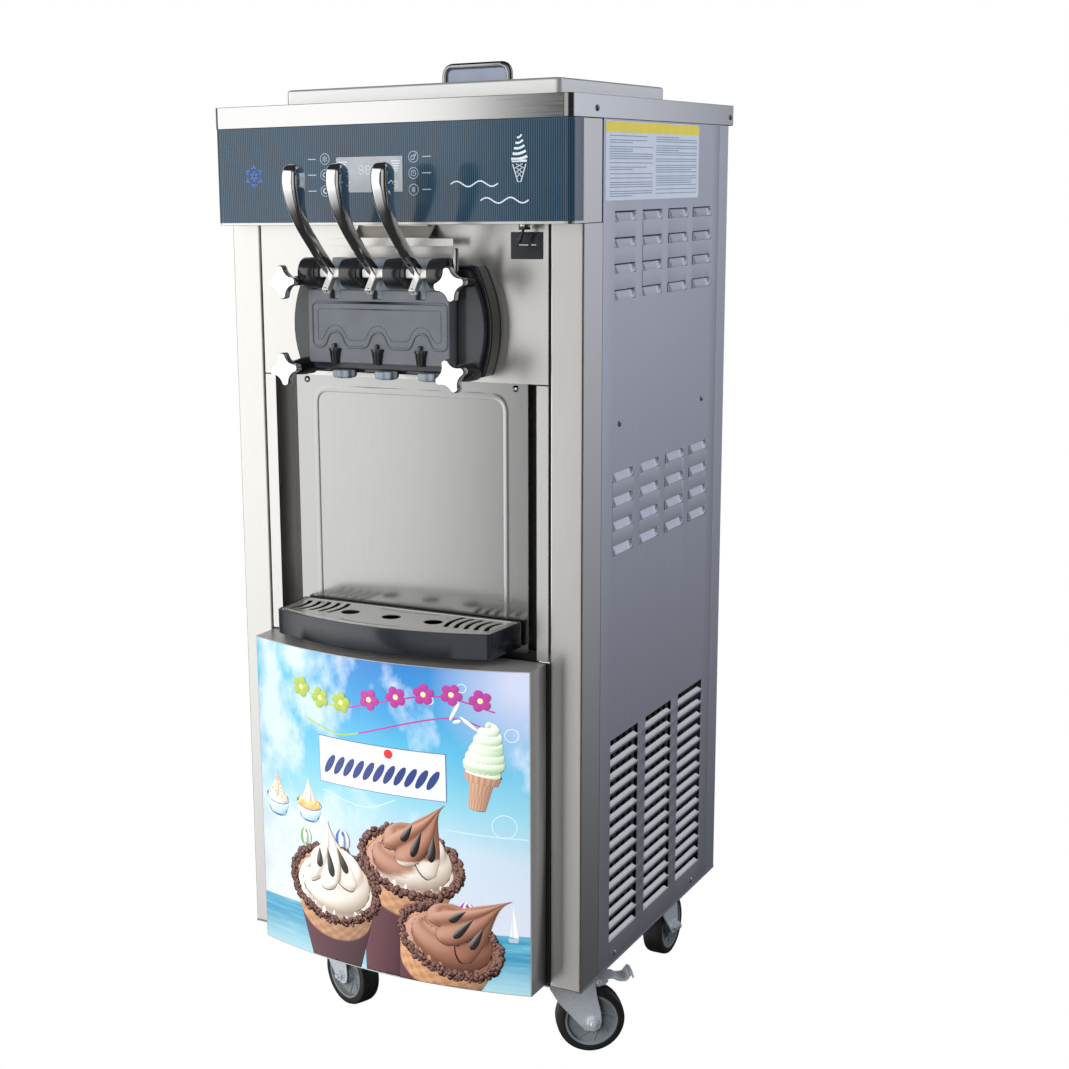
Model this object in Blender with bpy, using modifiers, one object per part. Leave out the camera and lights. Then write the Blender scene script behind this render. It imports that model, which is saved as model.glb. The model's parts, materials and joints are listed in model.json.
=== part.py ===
"""Floor-standing soft serve machine: two freezing cylinders, three taps, drip tray, hoppers and casters.

Units are metres. Positions are cabinet coordinates: X to the right seen from the front, Y backwards from
the cabinet's front face, Z up from the floor. One empty carries every piece, so that the machine's origin
lies under the middle of its box.
"""
import math

import bmesh
import bpy
from mathutils import Matrix, Vector

# Driving dimensions
HALF_WIDTH = 0.270
BODY_BACK = 0.527
BODY_LOW = 0.1525
HEADER_LOW = 1.196
FASCIA_TOP = 1.326
CAP_TOP = 1.355
CAP_BACK = 0.552
LID_TOP = 1.377
HEADER_FRONT = -0.036
LEVER_FRONT = -0.164
HEADER_CORNER = 0.011
SHEET = 0.0015
GAP = 0.0003
FILM = 0.0008
FILM_INSET = FILM + GAP
MERGE = 0.00005
FOLD_RADIUS = 0.003

# The cabinet's front openings
COLUMN_INNER = 0.2235
PANEL_HALF = 0.2215
SIDE_FRONT = 0.061
SIDE_BACK = 0.4865
ALCOVE_HALF = 0.204
ALCOVE_LOW = 0.6180
ALCOVE_TOP = 0.9885
ALCOVE_DEPTH = 0.045
SPLASH_HALF = 0.182
SPLASH_Y = 0.020

# The dispensing head
TAP_X = (-0.066, 0.0, 0.066)
SIDES = ("left", "middle", "right")
ROD_Y = -0.059
ROD_Z = 1.1345
ROD_RADIUS = 0.004
PLUNGER_Y = -0.036
PLUNGER_RADIUS = 0.0135
CYLINDER_Z = 1.065
KNOB_X = 0.127
KNOB_HEIGHTS = {"lower": 1.007, "upper": 1.123}
KNOB_FRONT = -0.095
KNOB_THICK = 0.013

# Casters: swivel axis, heading of the wheel behind it in degrees from +X, brake or not
CASTER_X = 0.195
CASTER_FRONT_Y = 0.112
CASTER_BACK_Y = 0.458
WHEEL_RADIUS = 0.050
WHEEL_WIDTH = 0.032
TRAIL = 0.037
CASTERS = {
    "front_left": (-CASTER_X, CASTER_FRONT_Y, -22.0, True),
    "front_right": (CASTER_X, CASTER_FRONT_Y, 34.0, True),
    "rear_left": (-CASTER_X, CASTER_BACK_Y, 90.0, False),
    "rear_right": (CASTER_X, CASTER_BACK_Y, 90.0, False),
}

# Colour, roughness and metallic value of each finish
LOOKS = {
    "steel": ((0.58, 0.57, 0.55), 0.34, 0.95),
    "side_steel": ((0.42, 0.45, 0.49), 0.38, 0.95),
    "chrome": ((0.78, 0.78, 0.78), 0.10, 1.0),
    "zinc": ((0.62, 0.63, 0.64), 0.35, 0.9),
    "black_plastic": ((0.018, 0.019, 0.021), 0.28, 0.0),
    "grey_plastic": ((0.34, 0.37, 0.40), 0.45, 0.0),
    "film": ((0.035, 0.065, 0.095), 0.30, 0.0),
    "display": ((0.05, 0.10, 0.16), 0.12, 0.0),
    "poster": ((0.20, 0.55, 0.80), 0.35, 0.0),
    "rubber": ((0.020, 0.020, 0.020), 0.70, 0.0),
    "painted": ((0.03, 0.03, 0.035), 0.45, 0.0),
    "aluminium": ((0.60, 0.61, 0.63), 0.45, 0.9),
}


def clear_scene():
    """Remove every object of the scene."""
    for thing in list(bpy.data.objects):
        bpy.data.objects.remove(thing, do_unlink=True)


def new_collection(name):
    """Make a collection in the scene."""
    made = bpy.data.collections.new(name)
    bpy.context.scene.collection.children.link(made)
    return made


clear_scene()
PARTS = new_collection("soft_serve_machine")
CUTTERS = new_collection("cutters")
CABINET = bpy.data.objects.new("cabinet_front", None)
CABINET.location.y = -(LEVER_FRONT + CAP_BACK) / 2
PARTS.objects.link(CABINET)


def finish_material(name, look):
    """Make the piece's own material from a named finish."""
    colour, roughness, metallic = LOOKS[look]
    made = bpy.data.materials.new(f"{name}_{look}")
    made.use_nodes = True
    shader = made.node_tree.nodes["Principled BSDF"]
    shader.inputs["Base Color"].default_value = (*colour, 1.0)
    shader.inputs["Roughness"].default_value = roughness
    shader.inputs["Metallic"].default_value = metallic
    return made


def place(name, mesh, look, matrix):
    """Put a mesh in the cabinet as a part, or as a cutter when it has no look."""
    made = bpy.data.objects.new(name, mesh)
    made.parent = CABINET
    made.matrix_basis = matrix
    if look is None:
        CUTTERS.objects.link(made)
        made.hide_render = True
        made.display_type = "WIRE"
        return made
    mesh.materials.clear()
    mesh.materials.append(finish_material(name, look))
    mesh.shade_smooth()
    mesh.set_sharp_from_angle(angle=math.radians(35))
    PARTS.objects.link(made)
    return made


def from_bmesh(name, bm, look, at=(0, 0, 0)):
    """Make an object from a bmesh in cabinet coordinates, with its origin at the point at."""
    bmesh.ops.translate(bm, vec=-Vector(at), verts=bm.verts)
    mesh = bpy.data.meshes.new(name)
    bm.to_mesh(mesh)
    bm.free()
    return place(name, mesh, look, Matrix.Translation(at))


def add_cube(bm, low, high):
    """Add a box between two corners to a bmesh."""
    low = Vector(low)
    high = Vector(high)
    size = Matrix.Diagonal((*(high - low), 1.0))
    bmesh.ops.create_cube(bm, size=1.0, matrix=Matrix.Translation((low + high) / 2) @ size)


def boxes(name, corner_pairs, look=None, at=(0, 0, 0)):
    """One object holding the boxes between pairs of corners."""
    bm = bmesh.new()
    for low, high in corner_pairs:
        add_cube(bm, low, high)
    return from_bmesh(name, bm, look, at)


def box(name, low, high, look=None, at=(0, 0, 0)):
    """A box between two corners."""
    return boxes(name, [(low, high)], look, at)


def rods(name, lines, look=None, at=(0, 0, 0), sides=24):
    """One object holding cylinders or cones, each from start to end with its two radii."""
    bm = bmesh.new()
    for start, end, radius, end_radius in lines:
        start = Vector(start)
        axis = Vector(end) - start
        turn = axis.to_track_quat("Z", "Y").to_matrix().to_4x4()
        bmesh.ops.create_cone(
            bm,
            cap_ends=True,
            segments=sides,
            radius1=radius,
            radius2=end_radius,
            depth=axis.length,
            matrix=Matrix.Translation(start + axis / 2) @ turn,
        )
    return from_bmesh(name, bm, look, at)


def rod(name, start, end, radius, look=None, at=(0, 0, 0), sides=24):
    """A cylinder from start to end."""
    return rods(name, [(start, end, radius, radius)], look, at, sides)


def turned(name, profile, look, at, turn=Matrix(), steps=24, closed=False):
    """A profile of (radius, height) pairs swept round the local Z axis, which turn points elsewhere."""
    bm = bmesh.new()
    points = [bm.verts.new((radius, 0, height)) for radius, height in profile]
    for one, other in zip(points, points[1:]):
        bm.edges.new((one, other))
    if closed:
        bm.edges.new((points[-1], points[0]))
    mesh = bpy.data.meshes.new(name)
    bm.to_mesh(mesh)
    bm.free()
    made = place(name, mesh, look, Matrix.Translation(at) @ turn)
    screw = made.modifiers.new("turning", "SCREW")
    screw.steps = steps
    screw.render_steps = steps
    screw.use_merge_vertices = True
    screw.merge_threshold = MERGE
    screw.use_smooth_shade = True
    return made


def flat_shape(name, outline, thickness, look, at, turn=Matrix()):
    """A flat outline with a thickness, drawn in the local XY plane that turn points elsewhere."""
    curve = bpy.data.curves.new(name, "CURVE")
    curve.dimensions = "2D"
    curve.fill_mode = "BOTH"
    curve.extrude = thickness / 2
    spline = curve.splines.new("POLY")
    spline.points.add(len(outline) - 1)
    spline.use_cyclic_u = True
    for point, (across, up) in zip(spline.points, outline):
        point.co = (across, up, 0, 1)
    return curve_piece(name, curve, look, Matrix.Translation(at) @ turn)


def wire(name, path, radius, look, at=(0, 0, 0)):
    """A round bar along a path in cabinet coordinates."""
    curve = bpy.data.curves.new(name, "CURVE")
    curve.dimensions = "3D"
    curve.bevel_depth = radius
    curve.bevel_resolution = 3
    curve.use_fill_caps = True
    spline = curve.splines.new("POLY")
    spline.points.add(len(path) - 1)
    for point, place_on_path in zip(spline.points, path):
        point.co = (*(Vector(place_on_path) - Vector(at)), 1)
    return curve_piece(name, curve, look, Matrix.Translation(at))


def curve_piece(name, curve, look, matrix):
    """Turn a curve into a mesh piece with welded caps."""
    guide = bpy.data.objects.new(f"{name}_curve", curve)
    bpy.context.scene.collection.objects.link(guide)
    seen = guide.evaluated_get(bpy.context.evaluated_depsgraph_get())
    mesh = bpy.data.meshes.new_from_object(seen)
    mesh.name = name
    bm = bmesh.new()
    bm.from_mesh(mesh)
    bmesh.ops.remove_doubles(bm, verts=bm.verts, dist=MERGE)
    bmesh.ops.recalc_face_normals(bm, faces=bm.faces)
    bm.to_mesh(mesh)
    bm.free()
    bpy.data.objects.remove(guide, do_unlink=True)
    return place(name, mesh, look, matrix)


def thicken(made, thickness=SHEET):
    """Give an open surface its sheet thickness, inwards from its outer face."""
    solid = made.modifiers.new("thickness", "SOLIDIFY")
    solid.thickness = thickness
    solid.offset = -1.0
    solid.use_even_offset = True
    return made


def soften(made, width, segments=2):
    """Round a piece's edges."""
    edge = made.modifiers.new("edges", "BEVEL")
    edge.width = width
    edge.segments = segments
    edge.limit_method = "ANGLE"
    edge.angle_limit = math.radians(40)
    return made


def combine(made, other, operation):
    """Cut or join a piece with another object."""
    change = made.modifiers.new(other.name, "BOOLEAN")
    change.operation = operation
    change.solver = "EXACT"
    change.object = other
    return made


def cut(made, other):
    """Cut another object's shape out of a piece."""
    return combine(made, other, "DIFFERENCE")


def join(made, other):
    """Join another object's shape to a piece."""
    return combine(made, other, "UNION")


def rounded(points, radius, steps=3):
    """Put an arc at each right-angled inner corner of an open outline."""
    smooth = [Vector(points[0])]
    for before, corner, after in zip(points, points[1:], points[2:]):
        corner = Vector(corner)
        back = (Vector(before) - corner).normalized()
        onward = (Vector(after) - corner).normalized()
        centre = corner + (back + onward) * radius
        for step in range(steps + 1):
            angle = math.pi / 2 * step / steps
            smooth.append(centre - onward * radius * math.cos(angle) - back * radius * math.sin(angle))
    smooth.append(Vector(points[-1]))
    return smooth


def upright(across, up, height):
    """Place an outline drawn in plan view at a height."""
    return Vector((across, up, height))


def crosswise(across, up, side):
    """Place an outline drawn in side view at a place across the width."""
    return Vector((side, across, up))


def folded(name, outline, low, high, look, put=upright, thickness=SHEET):
    """A folded sheet: an open outline drawn out from low to high. Its outer face is on the right of
    the outline's direction."""
    bm = bmesh.new()
    near = [bm.verts.new(put(*point, low)) for point in outline]
    far = [bm.verts.new(put(*point, high)) for point in outline]
    for i in range(len(outline) - 1):
        bm.faces.new((near[i], near[i + 1], far[i + 1], far[i]))
    return thicken(from_bmesh(name, bm, look), thickness)


def bowed(half_width, back_half, back_y, corner_y, bow, pieces=12):
    """Plan outline, from the back left to the back right, of a front that bows between its corners."""
    front = []
    for step in range(pieces + 1):
        share = 2 * step / pieces - 1
        front.append((half_width * share, corner_y - bow * (1 - share * share)))
    return [(-back_half, back_y)] + front + [(back_half, back_y)]


def shell_between(name, low_outline, low, high_outline, high, look, open_top, thickness=SHEET):
    """A thin shell between two plan outlines. It is open at the top, or else at the back."""
    bm = bmesh.new()
    under = [bm.verts.new((*point, low)) for point in low_outline]
    over = [bm.verts.new((*point, high)) for point in high_outline]
    count = len(under)
    walls = count if open_top else count - 1
    for i in range(walls):
        j = (i + 1) % count
        bm.faces.new((under[i], under[j], over[j], over[i]))
    bm.faces.new(list(reversed(under)))
    if not open_top:
        bm.faces.new(over)
    return thicken(from_bmesh(name, bm, look), thickness)


def open_box(name, low, high, open_side, look, thickness=SHEET, corner=0.0):
    """A sheet-metal box without the face that points along open_side."""
    bm = bmesh.new()
    add_cube(bm, low, high)
    bm.normal_update()
    for face in [face for face in bm.faces if face.normal.dot(Vector(open_side)) > 0.9]:
        bmesh.ops.delete(bm, geom=[face], context="FACES_ONLY")
    if corner:
        standing = [edge for edge in bm.edges if abs(edge.verts[0].co.z - edge.verts[1].co.z) > corner]
        bmesh.ops.bevel(bm, geom=standing, offset=corner, segments=3, profile=0.5, affect="EDGES")
    return thicken(from_bmesh(name, bm, look), thickness)


def turn_to_y():
    """Point the local Z axis backwards, along +Y."""
    return Matrix.Rotation(-math.pi / 2, 4, "X")


def front_view():
    """Point the local X and Y axes right and up in front view; the thickness runs along Y."""
    return Matrix.Rotation(math.pi / 2, 4, "X")


def side_view():
    """Point the local X and Y axes back and up in side view; the thickness runs along X."""
    return Matrix(((0, 0, 1, 0), (1, 0, 0, 0), (0, 1, 0, 0), (0, 0, 0, 1)))


# The cabinet

def base_frame():
    """Bottom plate with the four caster plates bolted under it."""
    plate_low = BODY_LOW - 0.003
    made = box("base_frame", (-HALF_WIDTH, 0, plate_low), (HALF_WIDTH, BODY_BACK, BODY_LOW - GAP), "zinc")
    for name, (x, y, _, _) in CASTERS.items():
        low = (x - 0.050, y - 0.040, 0.1445)
        high = (x + 0.050, y + 0.040, 0.1500)
        join(made, box(f"caster_pad_{name}", low, high))
    return made


def front_column(side, sign):
    """Corner column: a channel that wraps from the front opening round to the side."""
    outline = rounded(
        [(COLUMN_INNER, 0.030), (COLUMN_INNER, 0), (HALF_WIDTH, 0), (HALF_WIDTH, SIDE_FRONT - GAP)], FOLD_RADIUS
    )
    if sign < 0:
        outline = [(-x, y) for x, y in reversed(outline)]
    return folded(f"front_column_{side}", outline, BODY_LOW, HEADER_LOW - GAP, "steel")


def side_panel(side, sign):
    """Flat side panel with three columns of louvre slots low down."""
    outline = [(sign * HALF_WIDTH, SIDE_FRONT), (sign * HALF_WIDTH, SIDE_BACK - GAP)]
    if sign < 0:
        outline.reverse()
    made = folded(f"side_panel_{side}", outline, BODY_LOW, FASCIA_TOP - GAP, "side_steel")
    slots = []
    for column in range(3):
        front = 0.0977 + 0.1278 * column
        for row in range(15):
            low = 0.1925 + 0.0202 * row
            slots.append(((sign * 0.26, front, low), (sign * 0.28, front + 0.0993, low + 0.008)))
    slots = [(tuple(map(min, *pair)), tuple(map(max, *pair))) for pair in slots]
    return cut(made, boxes(f"side_slots_{side}", slots))


def rear_panel():
    """Back panel that wraps round both rear corners, with exhaust slots."""
    right = [(HALF_WIDTH, SIDE_BACK), (HALF_WIDTH, BODY_BACK)]
    left = [(-HALF_WIDTH, BODY_BACK), (-HALF_WIDTH, SIDE_BACK)]
    outline = rounded(right + left, FOLD_RADIUS)
    made = folded("rear_panel", outline, BODY_LOW, FASCIA_TOP - GAP, "side_steel")
    slots = []
    for column in (-1, 1):
        middle = 0.105 * column
        for row in range(12):
            low = (middle - 0.080, BODY_BACK - 0.01, 0.250 + 0.025 * row)
            high = (middle + 0.080, BODY_BACK + 0.01, 0.260 + 0.025 * row)
            slots.append((low, high))
    return cut(made, boxes("rear_slots", slots))


def cable_gland():
    """Gland at the back for the mains lead."""
    foot = BODY_BACK + GAP
    profile = [(0.0045, 0.022), (0.009, 0.022), (0.009, 0.010), (0.014, 0.010), (0.014, 0), (0.0045, 0)]
    return turned("cable_gland", profile, "black_plastic", (-0.200, foot, 0.200), turn_to_y(), 16, True)


def top_cap():
    """Stainless band round the top, open over the hoppers."""
    made = open_box(
        "top_cap",
        (-HALF_WIDTH - 0.001, HEADER_FRONT - 0.001, FASCIA_TOP),
        (HALF_WIDTH + 0.001, CAP_BACK, CAP_TOP),
        (0, 0, -1),
        "steel",
        corner=0.012,
    )
    return cut(made, box("hopper_opening", (-0.200, 0.068, 1.34), (0.200, 0.400, 1.37)))


def header_housing():
    """Sheet housing behind the control film; its floor makes the header's underside."""
    half = HALF_WIDTH - FILM_INSET
    front = HEADER_FRONT + FILM_INSET
    back = SIDE_FRONT - GAP
    corners = [(-half, back), (-half, front), (half, front), (half, back)]
    outline = rounded(corners, HEADER_CORNER - FILM_INSET)
    top = FASCIA_TOP - GAP
    return shell_between("header_housing", outline, HEADER_LOW, outline, top, "steel", open_top=False)


def control_film():
    """Printed control film that wraps round both front corners, with a window for the display."""
    outline = [(-HALF_WIDTH, 0), (-HALF_WIDTH, HEADER_FRONT), (HALF_WIDTH, HEADER_FRONT), (HALF_WIDTH, 0)]
    outline = rounded(outline, HEADER_CORNER)
    made = folded("control_film", outline, HEADER_LOW + 0.0035, FASCIA_TOP - GAP, "film", thickness=FILM)
    return cut(made, box("display_opening", (-0.0728, -0.05, 1.2387), (0.0291, 0, 1.2843)))


def lcd_window():
    """Display module's window, flush in the film."""
    low = (-0.0725, HEADER_FRONT, 1.239)
    high = (0.0288, HEADER_FRONT + FILM, 1.284)
    return box("lcd_window", low, high, "display")


def upper_front_panel():
    """Panel behind the dispensing head, open where the freezing cylinders come through."""
    outline = [(-PANEL_HALF, 0), (PANEL_HALF, 0)]
    made = folded("upper_front_panel", outline, ALCOVE_TOP + 0.0015, HEADER_LOW - GAP, "steel")
    return cut(made, box("cylinder_opening", (-0.1275, -0.01, 1.0035), (0.1275, 0.01, 1.1265)))


def alcove_frame():
    """Recess that the cone is held in: two front strips, deep side walls and a back."""
    outline = [
        (-PANEL_HALF, 0),
        (-ALCOVE_HALF, 0),
        (-ALCOVE_HALF, ALCOVE_DEPTH),
        (ALCOVE_HALF, ALCOVE_DEPTH),
        (ALCOVE_HALF, 0),
        (PANEL_HALF, 0),
    ]
    return folded("alcove_frame", outline, ALCOVE_LOW, ALCOVE_TOP, "steel")


def splash_panel():
    """Bright panel behind the cone, screwed in front of the recess."""
    outline = [(-SPLASH_HALF, SPLASH_Y), (SPLASH_HALF, SPLASH_Y)]
    return folded("splash_panel", outline, 0.620, 0.988, "steel")


def deflector_bracket():
    """Bent bracket under the middle of the header, with a wider lower flange."""
    profile = [(-0.0035, HEADER_LOW - GAP), (-0.0215, 1.1790), (-0.0215, 1.1680)]
    made = folded("deflector_bracket", profile, -0.0585, 0.0585, "steel", crosswise)
    flange = box("deflector_flange", (-0.095, -0.0215, 1.1680), (0.095, -0.0200, 1.1780))
    foot = box("deflector_foot", (-0.050, -0.0080, HEADER_LOW - 0.0018), (0.050, -0.0003, HEADER_LOW - GAP))
    join(made, flange)
    return join(made, foot)


def poster_door():
    """Lift-off lower door: a shallow box with a bowed front that carries the picture film."""
    low = bowed(0.2185, 0.2185, -0.0012, -0.0465, 0.033)
    high = bowed(0.2185, 0.2185, -0.0012, -0.0490, 0.043)
    return shell_between("poster_door", low, 0.1545, high, 0.6165, "poster", open_top=False)


# Switch

SWITCH = Vector((0.196, -0.018, 1.1925))


def switch_bush():
    """Threaded bush of the toggle switch under the header."""
    profile = [(0.0045, 0.0032), (0.0078, 0.0032), (0.0078, 0.0008), (0.0062, -0.0035), (0.0045, -0.0035)]
    return turned("switch_bush", profile, "black_plastic", SWITCH, steps=16, closed=True)


def toggle_lever():
    """Toggle's bat, hanging from its pivot inside the bush."""
    tilt = Matrix.Rotation(math.radians(20), 4, "Y")
    profile = [(0, 0.0015), (0.0016, 0.0012), (0.0018, -0.008)]
    profile += [(0.0030, -0.0185), (0.0022, -0.021), (0, -0.0216)]
    return turned("toggle_lever", profile, "black_plastic", SWITCH, tilt, steps=12)


# Drip tray

TRAY_LOW = 0.6296
TRAY_TOP = 0.6657


def drip_tray():
    """Drip tray with a bowed front and an open top."""
    outline = bowed(0.168, 0.175, 0.0160, -0.0670, 0.0320)
    return shell_between("drip_tray", outline, TRAY_LOW, outline, TRAY_TOP, "black_plastic", True, 0.0025)


def drip_grid():
    """Pierced plate that lies in the top of the tray."""
    outline = bowed(0.1645, 0.171, 0.0125, -0.0635, 0.0320)
    middle = TRAY_TOP - 0.0030
    made = flat_shape("drip_grid", outline, 0.0020, "steel", (0, 0, middle))
    slots = []
    for side in (-1, 1):
        for number in range(5):
            x = side * (0.088 + 0.015 * number)
            reach = 0.034 - 0.003 * number
            slots.append(((x - 0.003, -0.030 - reach * 0.6, 0.64), (x + 0.003, -0.030 + reach, 0.68)))
    cut(made, boxes("grid_slots", slots))
    holes = [((x, PLUNGER_Y, 0.64), (x, PLUNGER_Y, 0.68), 0.0135, 0.0135) for x in TAP_X]
    return cut(made, rods("grid_holes", holes, sides=16))


# Dispensing head

def barrel(half_top, half_low, bulge, low, high, steps=8):
    """Front-view outline whose sides bulge between a bottom and a top edge, round the cylinders' height."""
    right = []
    for step in range(steps + 1):
        share = step / steps
        width = half_low + (half_top - half_low) * share + bulge * (1 - (2 * share - 1) ** 2)
        right.append((width, low + (high - low) * share - CYLINDER_Z))
    left = [(-x, z) for x, z in reversed(right)]
    return right + left


def barrel_plate(name, inset, front, back, look):
    """Plate with barrel-shaped sides between two depths."""
    outline = barrel(0.1305 - inset, 0.140 - inset, 0.017, 0.9985 + inset, 1.144 - inset)
    return flat_shape(name, outline, back - front, look, (0, (front + back) / 2, CYLINDER_Z), front_view())


def head_surround():
    """Back plate of the head with a pocket for the block and the four knob sleeves."""
    made = barrel_plate("head_surround", 0, -0.025, -0.0005, "black_plastic")
    cut(made, barrel_plate("head_pocket", 0.0052, -0.030, -0.0195, None))
    wells = [((x, PLUNGER_Y, 1.12), (x, PLUNGER_Y, 1.16), 0.0145, 0.0145) for x in TAP_X]
    wells += [((x, PLUNGER_Y, 0.98), (x, PLUNGER_Y, 1.01), 0.0175, 0.0175) for x in TAP_X]
    cut(made, rods("surround_wells", wells, sides=16))
    sleeves = []
    for sign in (-1, 1):
        for level, back_radius, front_radius in (("upper", 0.0065, 0.0065), ("lower", 0.0120, 0.0080)):
            height = KNOB_HEIGHTS[level]
            back = (sign * KNOB_X, -0.018, height)
            front = (sign * KNOB_X, KNOB_FRONT + KNOB_THICK + GAP, height)
            sleeves.append((back, front, back_radius, front_radius))
    return join(made, rods("knob_sleeves", sleeves, sides=16))


def head_block():
    """Valve block with the four bosses that carry the lever rod."""
    made = barrel_plate("head_block", 0.0055, -0.0355, -0.0198, "black_plastic")
    sleeve_holes = []
    for height in KNOB_HEIGHTS.values():
        for x in (-KNOB_X, KNOB_X):
            sleeve_holes.append(((x, -0.10, height), (x, 0, height), 0.0125, 0.0125))
    cut(made, rods("sleeve_holes", sleeve_holes, sides=16))
    front = box("block_front", (-0.108, ROD_Y, 1.0145), (0.108, -0.030, 1.1120))
    join(made, soften(front, 0.004, 1))
    spans = [(-0.1115, -0.0845), (-0.0475, -0.0195), (0.0195, 0.0475), (0.0845, 0.1115)]
    lugs = [((a + 0.001, ROD_Y + 0.004, 1.100), (b - 0.001, -0.028, 1.133)) for a, b in spans]
    join(made, boxes("boss_lugs", lugs))
    bosses = [((a, ROD_Y, ROD_Z), (b, ROD_Y, ROD_Z), 0.0205, 0.0205) for a, b in spans]
    join(made, rods("rod_bosses", bosses, sides=20))
    bore = ROD_RADIUS + GAP
    cut(made, rod("rod_bore", (-0.13, ROD_Y, ROD_Z), (0.13, ROD_Y, ROD_Z), bore, sides=12))
    plunger_bore = PLUNGER_RADIUS + GAP
    bores = [((x, PLUNGER_Y, 0.99), (x, PLUNGER_Y, 1.16), plunger_bore, plunger_bore) for x in TAP_X]
    cut(made, rods("plunger_bores", bores))
    notches = [((x - 0.0182, -0.07, 1.0965), (x + 0.0182, -0.0340, 1.16)) for x in TAP_X]
    return cut(made, boxes("lever_notches", notches))


def pivot_rod():
    """Rod that the levers turn on, with an upturned end to pull it out by."""
    start = (-0.1120, ROD_Y, ROD_Z)
    path = rounded([start, (0.1185, ROD_Y, ROD_Z), (0.1185, ROD_Y, 1.1670)], 0.0065)
    return wire("pivot_rod", path, ROD_RADIUS, "chrome", at=(0, ROD_Y, ROD_Z))


# Lever stations from the hub up: Y, Z and depth along Y
LEVER_STATIONS = (
    (-0.0600, 1.1345, 0.016),
    (-0.0720, 1.1430, 0.015),
    (-0.0884, 1.1560, 0.014),
    (-0.1094, 1.1757, 0.014),
    (-0.1289, 1.1952, 0.014),
    (-0.1400, 1.2113, 0.015),
    (-0.1473, 1.2271, 0.018),
    (-0.1515, 1.2469, 0.024),
    (-0.1510, 1.2610, 0.023),
    (-0.1500, 1.2715, 0.012),
)


def tap_lever(side, x):
    """Tap lever: curved handle, hub on the rod, a finger into the plunger and a stop foot."""
    front = [(y - depth / 2 - ROD_Y, z - ROD_Z) for y, z, depth in LEVER_STATIONS]
    back = [(y + depth / 2 - ROD_Y, z - ROD_Z) for y, z, depth in reversed(LEVER_STATIONS)]
    pivot = (x, ROD_Y, ROD_Z)
    made = flat_shape(f"tap_lever_{side}", front + back, 0.016, "chrome", pivot, side_view())
    hub = rod(f"lever_hub_{side}", (x - 0.0175, ROD_Y, ROD_Z), (x + 0.0175, ROD_Y, ROD_Z), 0.0095)
    join(made, hub)
    finger = box(f"lever_finger_{side}", (x - 0.0045, ROD_Y, 1.1310), (x + 0.0045, -0.0385, 1.1380))
    join(made, finger)
    foot = rods(
        f"lever_foot_{side}",
        [((x - 0.0005, -0.0620, 1.1320), (x - 0.0005, -0.0805, 1.1090), 0.0068, 0.0062)],
        sides=8,
    )
    join(made, foot)
    left = (x - 0.02, ROD_Y, ROD_Z)
    right = (x + 0.02, ROD_Y, ROD_Z)
    return cut(made, rod(f"lever_bore_{side}", left, right, ROD_RADIUS + GAP, sides=16))


def plunger(side, x):
    """Valve plunger that the lever's finger lifts."""
    foot = (x, PLUNGER_Y, 1.0160)
    made = rod(f"plunger_{side}", foot, (x, PLUNGER_Y, 1.1536), PLUNGER_RADIUS, "grey_plastic", at=foot)
    slot = box(f"plunger_slot_{side}", (x - 0.0055, -0.055, 1.1250), (x + 0.0055, -0.0360, 1.1470))
    return cut(made, slot)


def outlet_cap(side, x):
    """Nozzle cap under a plunger."""
    profile = [(0.0065, 0.0098), (0.0165, 0.0098), (0.0150, 0), (0.0065, 0)]
    return turned(f"outlet_cap_{side}", profile, "grey_plastic", (x, PLUNGER_Y, 0.9935), closed=True)


def star_knob(name, x, z, turn_angle):
    """Four-lobed knob that clamps the head to the cylinders."""
    outline = []
    for step in range(32):
        angle = 2 * math.pi * step / 32
        radius = 0.0205 + 0.0045 * math.cos(4 * (angle - turn_angle))
        outline.append((radius * math.cos(angle), radius * math.sin(angle)))
    middle = KNOB_FRONT + KNOB_THICK / 2
    made = flat_shape(name, outline, KNOB_THICK, "chrome", (x, middle, z), front_view())
    return soften(made, 0.0015, 1)


# Mix and freezing

def hopper_lid():
    """Lid over both hoppers: a shallow pressed tray upside down."""
    low = (-0.211, 0.056, CAP_TOP + GAP)
    return open_box("hopper_lid", low, (0.211, 0.4155, LID_TOP), (0, 0, -1), "steel", 0.0012, 0.006)


def lid_handle():
    """Handle on the lid."""
    half = 0.051
    y = 0.232
    foot = LID_TOP + GAP
    top = 1.417
    path = rounded([(-half, y, foot), (-half, y, top), (half, y, top), (half, y, foot)], 0.012)
    return wire("lid_handle", path, 0.004, "chrome")


def hopper(side, sign):
    """Mix hopper with the feed neck under its outlet."""
    ends = sorted((sign * 0.008, sign * 0.192))
    middle_y = 0.235
    tap = sign * 0.066
    name = f"hopper_{side}"
    low = (ends[0], 0.085, 1.215)
    high = (ends[1], 0.385, 1.3545)
    made = open_box(name, low, high, (0, 0, 1), "steel", 0.0012, 0.020)
    neck_low = (tap, middle_y, 1.1256)
    neck_high = (tap, middle_y, 1.2155)
    join(made, rod(f"feed_neck_{side}", neck_low, neck_high, 0.012, sides=16))
    bore_low = (tap, middle_y, 1.12)
    bore_high = (tap, middle_y, 1.25)
    return cut(made, rod(f"feed_bore_{side}", bore_low, bore_high, 0.0085, sides=16))


def freezing_cylinder(side, x):
    """Jacketed freezing cylinder, open at the front, with a shaft hole at the back."""
    back = 0.300
    profile = [(0.0450, back), (0.0450, 0), (0.0600, 0), (0.0600, back + 0.006)]
    profile += [(0.0095, back + 0.006), (0.0095, back)]
    profile.reverse()
    at = (x, 0, CYLINDER_Z)
    return turned(f"freezing_cylinder_{side}", profile, "aluminium", at, turn_to_y(), closed=True)


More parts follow.
